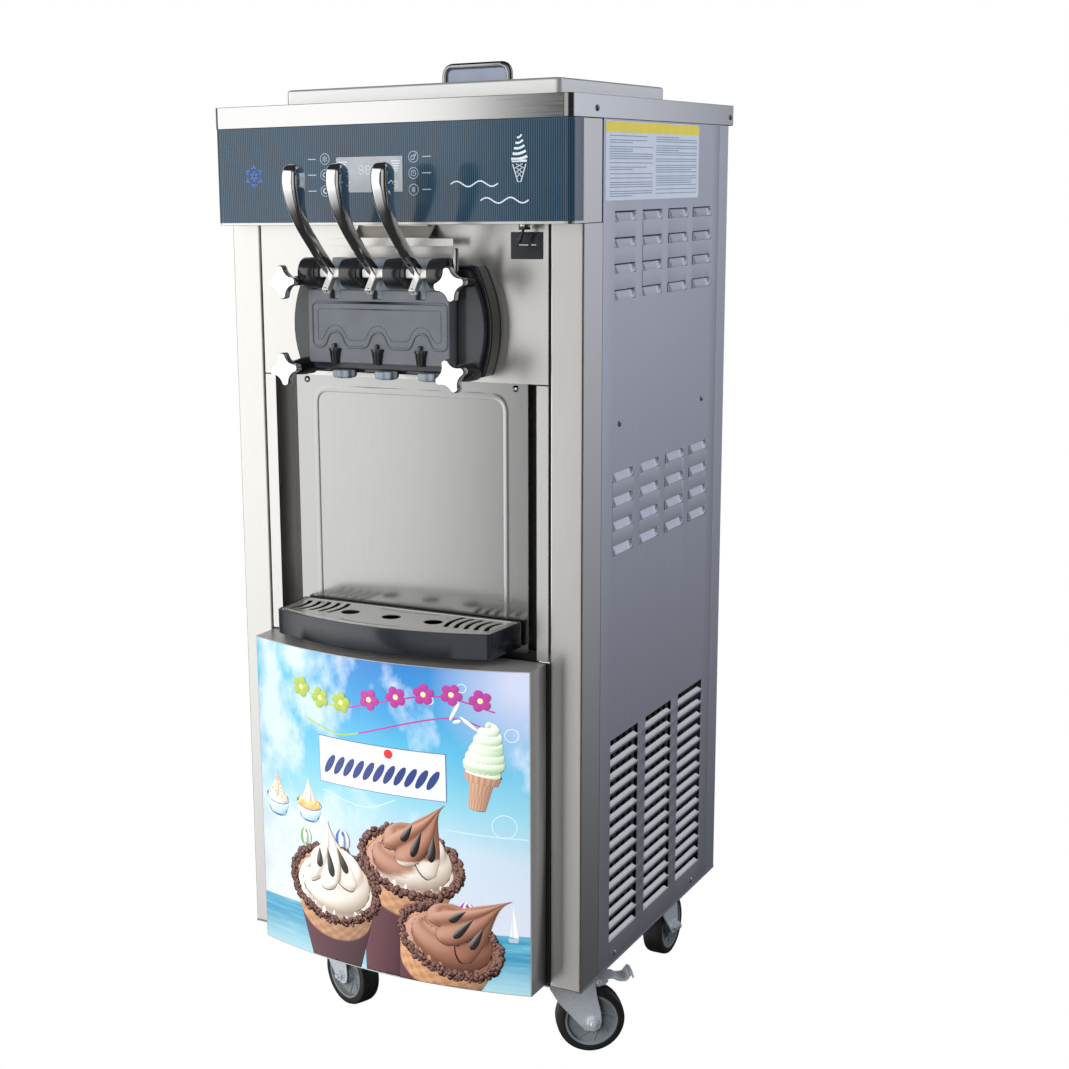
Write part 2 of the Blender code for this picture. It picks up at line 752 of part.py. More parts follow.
def beater(side, x):
    """Beater that turns in a freezing cylinder: a twisted blade on a shaft."""
    name = f"beater_{side}"
    bm = bmesh.new()
    length = 0.282
    rings = 15
    add_cube(bm, (-0.042, 0, -0.004), (0.042, length, 0.004))
    along = [edge for edge in bm.edges if abs(edge.verts[0].co.y - edge.verts[1].co.y) > length / 2]
    bmesh.ops.subdivide_edges(bm, edges=along, cuts=rings - 1, use_grid_fill=False)
    for point in bm.verts:
        angle = math.radians(540) * point.co.y / length
        point.co = Matrix.Rotation(angle, 3, "Y") @ point.co
    bmesh.ops.translate(bm, vec=(x, 0.008, CYLINDER_Z), verts=bm.verts)
    made = from_bmesh(name, bm, "grey_plastic", (x, 0, CYLINDER_Z))
    front = (x, 0.010, CYLINDER_Z)
    back = (x, 0.318, CYLINDER_Z)
    return join(made, rod(f"beater_shaft_{side}", front, back, 0.009, sides=10))


def gear_motor(side, x):
    """Gear motor behind a freezing cylinder."""
    z = CYLINDER_Z
    start = 0.3185
    low = (x - 0.045, start, z - 0.055)
    high = (x + 0.045, start + 0.055, z + 0.050)
    made = box(f"gear_motor_{side}", low, high, "painted")
    motor = rod(f"motor_can_{side}", (x, start + 0.050, z), (x, start + 0.140, z), 0.042)
    return join(soften(made, 0.004, 1), motor)


# Refrigeration, drive and control gear

def compressor():
    """Hermetic compressor on its foot plate."""
    profile = [(0, 0.215), (0.050, 0.207), (0.078, 0.185), (0.085, 0.155), (0.085, 0.060), (0.078, 0.030)]
    profile += [(0.050, 0.012), (0, 0.008)]
    made = turned("compressor", profile, "painted", (-0.110, 0.300, BODY_LOW))
    foot = box("compressor_foot", (-0.205, 0.230, BODY_LOW), (-0.015, 0.370, BODY_LOW + 0.012))
    return join(made, foot)


FAN_X = 0.178
FAN_Y = 0.270
FAN_Z = 0.340


def condenser():
    """Finned condenser behind the right-hand louvres, with its fan cowl and motor."""
    made = box("condenser", (0.196, 0.110, 0.180), (0.250, 0.430, 0.500), "aluminium")
    grooves = []
    for number in range(14):
        y = 0.122 + 0.022 * number
        grooves.append(((0.236, y, 0.190), (0.260, y + 0.011, 0.490)))
    cut(made, boxes("fin_grooves", grooves))
    legs = [((0.200, y, BODY_LOW), (0.246, y + 0.020, 0.185)) for y in (0.115, 0.405)]
    join(made, boxes("condenser_legs", legs))
    cowl = box("fan_cowl", (0.160, 0.130, 0.200), (0.1965, 0.410, 0.480))
    cut(cowl, rod("cowl_bore", (0.150, FAN_Y, FAN_Z), (0.1955, FAN_Y, FAN_Z), 0.125, sides=32))
    join(made, cowl)
    return join(made, rod("fan_motor", (0.186, FAN_Y, FAN_Z), (0.197, FAN_Y, FAN_Z), 0.030))


def condenser_fan():
    """Five-bladed fan in the cowl."""
    blade_root = 0.020
    tip = 0.115
    hub_ends = (0.164, FAN_Y, FAN_Z), (0.185, FAN_Y, FAN_Z)
    made = rod("condenser_fan", *hub_ends, 0.026, "black_plastic", (FAN_X, FAN_Y, FAN_Z), sides=20)
    bm = bmesh.new()
    for number in range(5):
        part = bmesh.new()
        add_cube(part, (-0.001, -0.026, blade_root), (0.001, 0.026, tip))
        pitch = Matrix.Rotation(math.radians(18), 4, "Z")
        around = Matrix.Rotation(2 * math.pi * number / 5, 4, "X")
        where = Matrix.Translation((0.1745, FAN_Y, FAN_Z))
        part.transform(where @ around @ pitch)
        mesh = bpy.data.meshes.new("blade")
        part.to_mesh(mesh)
        part.free()
        bm.from_mesh(mesh)
        bpy.data.meshes.remove(mesh)
    return join(made, from_bmesh("fan_blades", bm, None))


def control_box():
    """Box of the control electronics on the left-hand side."""
    made = box("control_box", (-0.2675, 0.150, 0.620), (-0.2080, 0.380, 0.860), "painted")
    return soften(made, 0.003, 1)


# Casters

def caster(name, x, y, heading, braked):
    """Swivel fork with its axle, the wheel, and a brake pedal where it has one."""
    swivel = Vector((x, y, 0))
    turn = Matrix.Translation(swivel) @ Matrix.Rotation(math.radians(heading), 4, "Z")
    axle = turn @ Vector((TRAIL, 0, WHEEL_RADIUS))
    caster_fork(name, turn)
    caster_wheel(name, axle, heading)
    if braked:
        brake_pedal(name, turn)


def moved(made, turn, at):
    """Turn a piece drawn beside the swivel axis to its caster, and set its origin to at."""
    made.data.transform(turn)
    made.data.transform(Matrix.Translation(-Vector(at)))
    made.matrix_basis = Matrix.Translation(at)
    return made


def caster_fork(name, turn):
    """Swivel head, two legs and the axle, drawn with the wheel trailing along +X."""
    at = turn.translation
    made = moved(rod(f"caster_fork_{name}", (0, 0, 0.1200), (0, 0, 0.1440), 0.030, "zinc"), turn, at)
    crown = box(f"fork_crown_{name}", (-0.025, -0.0232, 0.1150), (0.038, 0.0232, 0.1205))
    join(made, moved(crown, turn, at))
    outline = [(-0.026, 0.118), (-0.024, 0.100), (0.024, 0.040)]
    outline += [(0.050, 0.040), (0.050, 0.060), (0.040, 0.118)]
    for sign in (-1, 1):
        leg = flat_shape(f"fork_leg_{name}_{sign + 1}", outline, 0.003, None, (0, 0, 0))
        leg.data.transform(Matrix.Translation((0, sign * 0.021, 0)) @ front_view())
        join(made, moved(leg, turn, at))
    near = (TRAIL, -0.027, WHEEL_RADIUS)
    far = (TRAIL, 0.027, WHEEL_RADIUS)
    axle = rod(f"fork_axle_{name}", near, far, 0.0055, sides=12)
    return join(made, moved(axle, turn, at))


def caster_wheel(name, axle, heading):
    """Wheel with its tyre, bored for the axle."""
    half = WHEEL_WIDTH / 2
    profile = [(0.0060, half), (0.0140, half), (0.0160, half - 0.006), (0.036, half - 0.006), (0.039, half)]
    profile += [(0.046, half), (WHEEL_RADIUS, half - 0.005)]
    profile += [(radius, -height) for radius, height in reversed(profile)]
    turn = Matrix.Rotation(math.radians(heading), 4, "Z") @ Matrix.Rotation(math.pi / 2, 4, "X")
    return turned(f"caster_wheel_{name}", profile, "rubber", axle, turn, steps=24, closed=True)


def brake_pedal(name, turn):
    """Foot pedal of the brake, hinged at the back of the fork."""
    pivot = Vector((0.044, 0, 0.1150))
    made = box(f"brake_pedal_{name}", (0.0405, -0.017, 0.1100), (0.0980, 0.017, 0.1135), "zinc")
    lip = box(f"pedal_lip_{name}", (0.0940, -0.017, 0.1100), (0.0980, 0.017, 0.1210))
    at = turn @ pivot
    join(made, moved(lip, turn, at))
    return moved(made, turn, at)


def build():
    """Make every piece of the machine."""
    base_frame()
    for side, sign in (("left", -1), ("right", 1)):
        front_column(side, sign)
        side_panel(side, sign)
        hopper(side, sign)
        freezing_cylinder(side, sign * 0.066)
        beater(side, sign * 0.066)
        gear_motor(side, sign * 0.066)
    rear_panel()
    cable_gland()
    top_cap()
    header_housing()
    control_film()
    lcd_window()
    upper_front_panel()
    alcove_frame()
    splash_panel()
    deflector_bracket()
    poster_door()
    switch_bush()
    toggle_lever()
    drip_tray()
    drip_grid()
    head_surround()
    head_block()
    pivot_rod()
    for side, x in zip(SIDES, TAP_X):
        tap_lever(side, x)
        plunger(side, x)
        outlet_cap(side, x)
    for level, height in KNOB_HEIGHTS.items():
        for side, sign in (("left", -1), ("right", 1)):
            star_knob(f"star_knob_{level}_{side}", sign * KNOB_X, height, math.radians(15))
    hopper_lid()
    lid_handle()
    compressor()
    condenser()
    condenser_fan()
    control_box()
    for name, (x, y, heading, braked) in CASTERS.items():
        caster(name, x, y, heading, braked)


build()
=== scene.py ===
"""Looks of the soft serve machine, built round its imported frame.

Lengths are metres. Pieces are drawn in cabinet coordinates: X to the right seen from the front, Y backwards
from the cabinet's front face, Z up from the floor. FACE is where that front face lies in the frame.
"""
import json
import math
import random

import bmesh
import bpy
from mathutils import Matrix, Vector

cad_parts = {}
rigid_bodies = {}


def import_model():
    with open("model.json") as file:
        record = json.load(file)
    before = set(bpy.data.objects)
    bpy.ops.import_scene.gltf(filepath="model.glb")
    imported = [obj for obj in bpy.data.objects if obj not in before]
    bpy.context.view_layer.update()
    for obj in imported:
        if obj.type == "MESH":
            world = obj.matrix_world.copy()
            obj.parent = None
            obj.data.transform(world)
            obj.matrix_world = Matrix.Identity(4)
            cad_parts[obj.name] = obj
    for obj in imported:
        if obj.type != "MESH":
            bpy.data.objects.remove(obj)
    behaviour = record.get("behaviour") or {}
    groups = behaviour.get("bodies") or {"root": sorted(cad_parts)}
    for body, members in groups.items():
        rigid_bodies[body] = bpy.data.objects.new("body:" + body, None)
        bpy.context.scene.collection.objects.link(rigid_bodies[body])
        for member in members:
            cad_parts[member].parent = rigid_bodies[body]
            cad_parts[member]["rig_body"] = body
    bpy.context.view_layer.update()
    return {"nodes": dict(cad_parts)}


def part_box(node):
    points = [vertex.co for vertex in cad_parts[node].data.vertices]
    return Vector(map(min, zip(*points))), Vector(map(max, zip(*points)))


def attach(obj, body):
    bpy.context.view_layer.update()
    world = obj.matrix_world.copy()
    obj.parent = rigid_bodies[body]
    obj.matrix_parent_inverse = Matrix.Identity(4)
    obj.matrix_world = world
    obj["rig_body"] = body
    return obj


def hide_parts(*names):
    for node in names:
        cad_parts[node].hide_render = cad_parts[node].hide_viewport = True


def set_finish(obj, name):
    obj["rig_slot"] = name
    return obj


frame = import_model()

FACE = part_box("front_column_left")[0].y
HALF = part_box("side_panel_right")[1].x
SEAM_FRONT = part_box("side_panel_right")[0].y - FACE
SEAM_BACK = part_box("side_panel_right")[1].y - FACE
BODY_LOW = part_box("front_column_left")[0].z
HEADER_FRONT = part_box("control_film")[0].y - FACE
FILM_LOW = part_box("control_film")[0].z
FILM_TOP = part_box("control_film")[1].z
LID_LOW, LID_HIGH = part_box("hopper_lid")
DOOR_LOW, DOOR_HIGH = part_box("poster_door")
TRAY_LOW, TRAY_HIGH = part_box("drip_tray")
ROD_Z = 1.1345
ROD_Y = -0.059
TAPS = {"left": -0.066, "middle": 0.0, "right": 0.066}
PLUNGER_Y = -0.036
BOSS_SPANS = ((-0.1115, -0.0845), (-0.0475, -0.0195), (0.0195, 0.0475), (0.0845, 0.1115))
HEADER_CORNER = 0.011
BLOCK_FRONT = -0.0590
KNOB_X = 0.127
KNOB_Z = {"upper": 1.123, "lower": 1.007}


# Materials

class Look:
    """A node material that is built up in steps."""

    def __init__(self, name, colour, rough, metallic=0.0, **sockets):
        self.made = bpy.data.materials.new(name)
        self.made.use_nodes = True
        self.tree = self.made.node_tree
        self.shader = self.tree.nodes["Principled BSDF"]
        self.set("Base Color", (*colour, 1.0))
        self.set("Roughness", rough)
        self.set("Metallic", metallic)
        for socket, value in sockets.items():
            self.set(socket.replace("_", " "), value)
        self.colour = colour

    def set(self, socket, value):
        """Set one of the shader's sockets."""
        self.shader.inputs[socket].default_value = value

    def add(self, kind, **inputs):
        """Add a node and fill its inputs with numbers or links."""
        node = self.tree.nodes.new(kind)
        for name, value in inputs.items():
            socket = node.inputs[int(name[1:])] if name[1:].isdigit() else node.inputs[name.replace("_", " ")]
            if isinstance(value, bpy.types.NodeSocket):
                self.tree.links.new(value, socket)
            else:
                socket.default_value = value
        return node

    def place(self):
        """Coordinates in the frame, in metres."""
        return self.add("ShaderNodeTexCoord").outputs["Object"]

    def axis(self, letter):
        """One coordinate in the frame."""
        return self.add("ShaderNodeSeparateXYZ", Vector=self.place()).outputs[letter]

    def math(self, operation, one, other=0.0):
        """A math node's result."""
        node = self.add("ShaderNodeMath", _0=one, _1=other)
        node.operation = operation
        return node.outputs[0]

    def noise(self, scale, detail=3.0, rough=0.5):
        """Noise from 0 to 1. A scale of three numbers stretches it."""
        if isinstance(scale, (int, float)):
            scale = (scale, scale, scale)
        spread = self.add("ShaderNodeMapping", Vector=self.place(), Scale=scale).outputs[0]
        node = self.add("ShaderNodeTexNoise", Vector=spread, Scale=1.0, Detail=detail, Roughness=rough)
        return node.outputs["Fac"]

    def stops(self, source, *stops):
        """A colour ramp over a value."""
        node = self.add("ShaderNodeValToRGB", Fac=source)
        ramp = node.color_ramp
        while len(ramp.elements) < len(stops):
            ramp.elements.new(0.5)
        for element, (where, colour) in zip(ramp.elements, stops):
            element.position = where
            element.color = (*colour, 1.0)
        return node.outputs["Color"]

    def span(self, source, low, high, to_low=0.0, to_high=1.0):
        """Map a value's range to another range."""
        node = self.add("ShaderNodeMapRange", _0=source, _1=low, _2=high, _3=to_low, _4=to_high)
        return node.outputs[0]

    def mix(self, share, one, other):
        """A colour between two."""
        node = self.tree.nodes.new("ShaderNodeMix")
        node.data_type = "RGBA"
        for socket, value in ((node.inputs[0], share), (node.inputs[6], one), (node.inputs[7], other)):
            if isinstance(value, bpy.types.NodeSocket):
                self.tree.links.new(value, socket)
            else:
                socket.default_value = value if isinstance(value, float) else (*value, 1.0)
        return node.outputs[2]

    def paint(self, source):
        """Drive the base colour."""
        self.tree.links.new(source, self.shader.inputs["Base Color"])

    def mottle(self, source, spread):
        """Vary the base colour by a share of itself."""
        darker = tuple(part * (1 - spread) for part in self.colour)
        lighter = tuple(min(part * (1 + spread), 1.0) for part in self.colour)
        self.paint(self.stops(source, (0.3, darker), (0.7, lighter)))

    def roughen(self, source, low, high):
        """Vary the roughness between two values."""
        self.tree.links.new(self.span(source, 0.3, 0.7, low, high), self.shader.inputs["Roughness"])

    def relief(self, source, depth):
        """Add fine bumps of a depth in metres, which ends the material."""
        node = self.add("ShaderNodeBump", Height=source, Strength=1.0, Distance=depth)
        self.tree.links.new(node.outputs[0], self.shader.inputs["Normal"])
        return self.made


def brushed(name, colour, rough, grain, spread=0.025, depth=0.000004, metallic=1.0):
    """Brushed sheet: the grain is long along the axis with the small number."""
    look = Look(name, colour, rough, metallic)
    lines = look.noise(grain, 4.0, 0.6)
    look.mottle(lines, spread)
    look.roughen(lines, rough - 0.03, rough + 0.04)
    return look.relief(lines, depth)


def moulded(name, colour, rough, scale=900.0, depth=0.00002, spread=0.10, **sockets):
    """Moulded plastic or rubber with a fine skin texture."""
    look = Look(name, colour, rough, 0.0, **sockets)
    skin = look.noise(scale, 3.0)
    look.mottle(look.noise(40.0), spread)
    look.roughen(look.noise(120.0), rough - 0.04, rough + 0.05)
    return look.relief(skin, depth)


def polished(name, colour, rough, wave=0.00004, metallic=1.0):
    """Polished metal with faint polishing marks and the soft waves of a plated casting."""
    look = Look(name, colour, rough, metallic)
    look.mottle(look.noise(60.0), 0.03)
    look.roughen(look.noise((500.0, 500.0, 120.0), 4.0), rough * 0.85, rough * 1.25)
    return look.relief(look.noise(55.0, 1.0), wave)


def film_look():
    """Printed film: dark teal with fine upright lines, which run on round the corners."""
    gloss = {"Coat_Weight": 0.7, "Coat_Roughness": 0.08, "Coat_IOR": 1.5, "Specular_IOR_Level": 0.25}
    look = Look("film_print", (0.004, 0.016, 0.030), 0.24, **gloss)
    pitch = 0.0031
    round_corner = look.math("ADD", look.math("ABSOLUTE", look.axis("X")), look.axis("Y"))
    wave = look.math("SINE", look.math("MULTIPLY", round_corner, 2 * math.pi / pitch))
    stripe = look.span(wave, -0.2, 0.6)
    shade = look.stops(look.noise(6.0), (0.3, (0.003, 0.013, 0.026)), (0.7, (0.006, 0.020, 0.037)))
    look.paint(look.mix(stripe, shade, (0.030, 0.070, 0.110)))
    look.roughen(look.noise(200.0), 0.19, 0.25)
    return look.made


def sky_look():
    """Picture film of the door: blue sky with clouds over a band of sea."""
    look = Look("sky_print", (0.3, 0.6, 0.8), 0.30, Coat_Weight=0.30, Coat_Roughness=0.10)
    height = look.axis("Z")
    across = look.axis("X")
    drift = look.math("MULTIPLY", look.math("SUBTRACT", look.noise(6.0), 0.5), 0.10)
    sky = look.stops(
        look.span(look.math("ADD", height, drift), 0.24, 0.62),
        (0.00, (0.60, 0.64, 0.74)),
        (0.28, (0.52, 0.64, 0.74)),
        (0.46, (0.26, 0.57, 0.69)),
        (0.66, (0.10, 0.43, 0.66)),
        (0.84, (0.045, 0.28, 0.58)),
        (1.00, (0.030, 0.18, 0.50)),
    )
    left = look.math("MULTIPLY", look.span(across, -0.03, -0.17), look.span(height, 0.42, 0.56))
    sky = look.mix(left, sky, (0.10, 0.47, 0.64))
    drift = look.math("MULTIPLY", look.span(across, 0.05, -0.15), 0.09)
    cloud = look.span(look.math("ADD", look.noise((13.0, 13.0, 9.0), 6.0, 0.55), drift), 0.55, 0.70)
    sky = look.mix(look.math("MULTIPLY", cloud, 0.80), sky, (0.70, 0.76, 0.86))
    aside = look.math("SUBTRACT", across, 0.215)
    above = look.math("SUBTRACT", height, 0.600)
    far = look.math("ADD", look.math("MULTIPLY", aside, aside), look.math("MULTIPLY", above, above))
    sky = look.mix(look.span(look.math("SQRT", far), 0.13, 0.02, 0.0, 0.85), sky, (0.62, 0.64, 0.78))
    swell = look.noise((14.0, 14.0, 190.0), 4.0)
    sea = look.stops(
        swell, (0.35, (0.045, 0.27, 0.44)), (0.60, (0.11, 0.40, 0.56)), (0.75, (0.30, 0.56, 0.66))
    )
    sea = look.mix(look.span(height, 0.155, 0.205), (0.38, 0.62, 0.70), sea)
    shore = look.math("ADD", look.math("MULTIPLY", across, 0.036), 0.2345)
    shown = look.span(look.math("SUBTRACT", height, shore), -0.0008, 0.0008)
    look.paint(look.mix(shown, sea, sky))
    return look.relief(look.noise(700.0), 0.000004)


def ink_look():
    """Printed pictures on the door: each point carries its own ink."""
    look = Look("picture_ink", (0.5, 0.5, 0.5), 0.32, Coat_Weight=0.3, Coat_Roughness=0.12)
    ink = look.tree.nodes.new("ShaderNodeAttribute")
    ink.attribute_name = "ink"
    grain = look.stops(look.noise(1500.0, 1.0), (0.3, (0.93, 0.93, 0.93)), (0.7, (1.0, 1.0, 1.0)))
    node = look.tree.nodes.new("ShaderNodeMix")
    node.data_type = "RGBA"
    node.blend_type = "MULTIPLY"
    node.inputs[0].default_value = 1.0
    look.tree.links.new(ink.outputs["Color"], node.inputs[6])
    look.tree.links.new(grain, node.inputs[7])
    look.paint(node.outputs[2])
    return look.made


UPRIGHT_GRAIN = (2200.0, 2200.0, 14.0)
CROSS_GRAIN = (14.0, 2200.0, 2200.0)
DEEP_GRAIN = (2200.0, 14.0, 2200.0)
# Each look's slot and material
LOOKS = {
    "steel": ("steel", brushed("front_steel", (0.76, 0.745, 0.715), 0.31, UPRIGHT_GRAIN)),
    "cap": ("steel", brushed("cap_steel", (0.58, 0.575, 0.57), 0.12, (14.0, 14.0, 2200.0))),
    "side": (
        "side_steel",
        brushed("side_steel", (0.54, 0.55, 0.62), 0.30, UPRIGHT_GRAIN, 0.02, metallic=0.85),
    ),
    "splash": ("steel", brushed("splash_steel", (0.42, 0.42, 0.415), 0.19, UPRIGHT_GRAIN, 0.015, 0.000003)),
    # Louvre lips: a near-white, mostly diffuse copy of the side steel, a painted highlight that makes them
    # read as bright lines
    "slat": (
        "side_steel",
        brushed("slat_painted_highlight", (0.95, 0.95, 0.98), 0.30, DEEP_GRAIN, 0.03, metallic=0.15),
    ),
    "lid": (
        "polished_steel",
        brushed("lid_steel", (0.78, 0.78, 0.77), 0.36, CROSS_GRAIN, 0.02, metallic=0.8),
    ),
    # Lever hubs and feet: a whiter, half-diffuse copy of the chrome, a painted highlight that keeps them
    # bright
    "highlight_chrome": (
        "chrome",
        brushed("chrome_painted_highlight", (0.90, 0.89, 0.87), 0.30, (300.0, 300.0, 300.0), 0.03, metallic=0.5),
    ),
    "grid": ("steel", brushed("grid_steel", (0.72, 0.71, 0.69), 0.30, CROSS_GRAIN, 0.05, metallic=0.8)),
    "inside": ("steel", brushed("inside_steel", (0.48, 0.48, 0.48), 0.32, CROSS_GRAIN, 0.05)),
    "chrome": ("chrome", polished("chrome_plate", (0.80, 0.80, 0.80), 0.045)),
    "handle": ("chrome", polished("handle_chrome", (0.35, 0.35, 0.37), 0.09)),
    "zinc": ("zinc", polished("zinc_plate", (0.80, 0.85, 0.92), 0.30, 0.00004, 0.6)),
    "door": ("steel", brushed("door_steel", (0.50, 0.49, 0.475), 0.36, CROSS_GRAIN, 0.02, metallic=0.6)),
    "base": ("zinc", brushed("base_steel", (0.45, 0.46, 0.48), 0.40, CROSS_GRAIN, 0.05)),
    "screw": ("chrome", polished("screw_steel", (0.62, 0.62, 0.63), 0.16)),
    "aluminium": (
        "aluminium",
        brushed("bare_aluminium", (0.60, 0.61, 0.63), 0.40, (60.0, 60.0, 60.0), 0.08),
    ),
    "plate": (
        "black_plastic",
        moulded("plate_black", (0.024, 0.026, 0.030), 0.24, 900.0, 0.000010, 0.10, Coat_Weight=0.3),
    ),
    "black": (
        "black_plastic",
        moulded("gloss_black", (0.012, 0.0125, 0.014), 0.13, 500.0, 0.000008, 0.15, Coat_Weight=0.5),
    ),
    "face": ("black_plastic", moulded("satin_grey", (0.095, 0.104, 0.118), 0.33, 1400.0, 0.000015, 0.08)),
    "tray": (
        "black_plastic",
        moulded("tray_slate", (0.014, 0.017, 0.022), 0.20, 700.0, 0.000010, 0.12, Coat_Weight=0.4),
    ),
    "grey": ("grey_plastic", moulded("seal_grey", (0.20, 0.235, 0.265), 0.42)),
    "white": ("grey_plastic", moulded("beater_white", (0.62, 0.63, 0.62), 0.40)),
    "tyre": ("tyre", moulded("tyre_rubber", (0.012, 0.012, 0.013), 0.46, 420.0, 0.00006, 0.2)),
    "hub": ("wheel_hub", moulded("hub_grey", (0.17, 0.185, 0.20), 0.40, 700.0)),
    "hose": ("black_plastic", moulded("hose_navy", (0.012, 0.035, 0.085), 0.36)),
    "enamel": ("painted", moulded("black_enamel", (0.016, 0.016, 0.018), 0.35, 260.0, 0.00004)),
    "box": ("painted", moulded("control_box_grey", (0.32, 0.33, 0.34), 0.40)),
    "film": ("film", film_look()),
    "line": ("film", moulded("print_silver", (0.50, 0.55, 0.60), 0.30, 300.0, 0.000004, 0.05)),
    "faint": ("film", moulded("print_faint", (0.34, 0.40, 0.47), 0.30, 300.0, 0.000004, 0.05)),
    "blue": ("film", moulded("print_blue", (0.05, 0.12, 0.42), 0.30, 300.0, 0.000004, 0.05)),
    "display": (
        "display",
        moulded("display_grey", (0.25, 0.27, 0.30), 0.20, 300.0, 0.000004, 0.1, Coat_Weight=1.0),
    ),
    "web": ("grey_plastic", moulded("grip_web", (0.20, 0.23, 0.29), 0.35, 500.0, 0.00001, 0.06)),
    "label": ("label", moulded("label_white", (0.62, 0.68, 0.78), 0.35, 500.0, 0.000005, 0.03)),
    "yellow": ("label", moulded("label_yellow", (0.80, 0.66, 0.06), 0.35, 500.0, 0.000005, 0.04)),
    "text": ("label", moulded("label_grey", (0.22, 0.27, 0.40), 0.40, 500.0, 0.000005, 0.04)),
    "sky": ("poster_film", sky_look()),
    "ink": ("poster_film", ink_look()),
    # Near-black used as painted shade: dark sheets behind gaps, and the condenser seen through the louvres
    "dark": ("black_plastic", moulded("painted_shade_black", (0.010, 0.010, 0.011), 0.55)),
}


# Mesh helpers

def polar(angle, radius=1.0):
    """A point on a circle round the origin."""
    return radius * math.cos(angle), radius * math.sin(angle)


def circle(count, turn=0.0):
    """Evenly spaced angles all the way round."""
    return [2 * math.pi * step / count + turn for step in range(count)]


def curve(start, middle, end, t):
    """A point on the curve that leaves start towards middle and arrives at end."""
    return start * (1 - t) ** 2 + middle * 2 * t * (1 - t) + end * t * t


def add_box(bm, low, high):
    """Add a box between two corners."""
    low = Vector(low)
    high = Vector(high)
    size = Matrix.Diagonal((*(high - low), 1.0))
    return bmesh.ops.create_cube(bm, size=1.0, matrix=Matrix.Translation((low + high) / 2) @ size)["verts"]


def frames_along(path):
    """A position, a side vector and an up vector at each point of a path, with no twist."""
    path = [Vector(point) for point in path]
    tangents = []
    for i in range(len(path)):
        ahead = path[min(i + 1, len(path) - 1)]
        behind = path[max(i - 1, 0)]
        tangents.append((ahead - behind).normalized())
    first = Vector((1, 0, 0)) if abs(tangents[0].x) < 0.9 else Vector((0, 0, 1))
    side = (first - tangents[0] * first.dot(tangents[0])).normalized()
    result = []
    for point, tangent in zip(path, tangents):
        side = (side - tangent * side.dot(tangent)).normalized()
        result.append((point, side, tangent.cross(side)))
    return result


def add_loft(bm, rings, closed=True, caps=True, looped=False):
    """Join rings of points into a skin. A looped skin comes back to its first ring."""
    made = [[bm.verts.new(point) for point in ring] for ring in rings]
    count = len(made[0])
    for one, other in zip(made, made[1:] + made[:1] * looped):
        for i in range(count if closed else count - 1):
            j = (i + 1) % count
            bm.faces.new((one[i], one[j], other[j], other[i]))
    if caps:
        bm.faces.new(list(reversed(made[0])))
        bm.faces.new(made[-1])
    return made


def add_tube(bm, path, sizes, sides=16, power=2.0):
    """A bar along a path.

    sizes is a radius or each point's half width and half depth, and power squares the section.
    """
    rings = []
    if isinstance(sizes, float):
        sizes = [(sizes, sizes)] * len(path)
    for (point, side, up), (wide, deep) in zip(frames_along(path), sizes):
        ring = []
        for angle in circle(sides):
            c, s = polar(angle)
            across = math.copysign(abs(c) ** (2 / power), c) * wide
            over = math.copysign(abs(s) ** (2 / power), s) * deep
            ring.append(point + side * across + up * over)
        rings.append(ring)
    add_loft(bm, rings)


def add_lathe(bm, profile, at, axis=(0, 0, 1), steps=32):
    """Turn a profile of (radius, height) pairs round an axis from the point at."""
    place = Matrix.Translation(at) @ Vector(axis).to_track_quat("Z", "Y").to_matrix().to_4x4()
    rings = []
    for radius, height in profile:
        rings.append([place @ Vector((*polar(angle, max(radius, 1e-5)), height)) for angle in circle(steps)])
    add_loft(bm, rings)


def add_plate(bm, outline, place, low, high):
    """A flat outline drawn out between two depths. place turns (across, up, depth) into a point."""
    rings = [[place(*point, depth) for point in outline] for depth in (low, high)]
    add_loft(bm, rings)


def front(x, z, y):
    """Front view: across, up, depth."""
    return Vector((x, y, z))


def plan(x, y, z):
    """Plan view: across, back, height."""
    return Vector((x, y, z))


def side_on(y, z, x):
    """Side view: back, up, across."""
    return Vector((x, y, z))


def arc(centre, radius, start, end, steps):
    """Points along an arc, with angles in degrees."""
    points = []
    for step in range(steps + 1):
        across, up = polar(math.radians(start + (end - start) * step / steps), radius)
        points.append((centre[0] + across, centre[1] + up))
    return points


def hexagon(x, y, radius, turn=0.0):
    """Outline of a nut."""
    return [(x + across, y + up) for across, up in (polar(angle, radius) for angle in circle(6, turn))]


def round_rectangle(low, high, radius, steps=6):
    """A closed outline with rounded corners."""
    (x0, y0), (x1, y1) = low, high
    return (
        arc((x1 - radius, y1 - radius), radius, 0, 90, steps)
        + arc((x0 + radius, y1 - radius), radius, 90, 180, steps)
        + arc((x0 + radius, y0 + radius), radius, 180, 270, steps)
        + arc((x1 - radius, y0 + radius), radius, 270, 360, steps)
    )


def ease_corners(points, radius, steps=5):
    """Round each inner corner of an open outline."""
    smooth = [Vector(points[0])]
    for before, corner, after in zip(points, points[1:], points[2:]):
        corner = Vector(corner)
        back = Vector(before) - corner
        onward = Vector(after) - corner
        reach = min(radius, back.length * 0.49, onward.length * 0.49)
        start = corner + back.normalized() * reach
        end = corner + onward.normalized() * reach
        smooth += [curve(start, corner, end, step / steps) for step in range(steps + 1)]
    smooth.append(Vector(points[-1]))
    return smooth


def sheet(bm, across, up, place, skip=()):
    """A grid of faces over two lists of stations, without the cells in skip."""
    grid = [[bm.verts.new(place(u, v)) for u in across] for v in up]
    for j in range(len(up) - 1):
        for i in range(len(across) - 1):
            if (i, j) not in skip:
                bm.faces.new((grid[j][i], grid[j][i + 1], grid[j + 1][i + 1], grid[j + 1][i]))
    loose = [vert for vert in bm.verts if not vert.link_faces]
    bmesh.ops.delete(bm, geom=loose, context="VERTS")


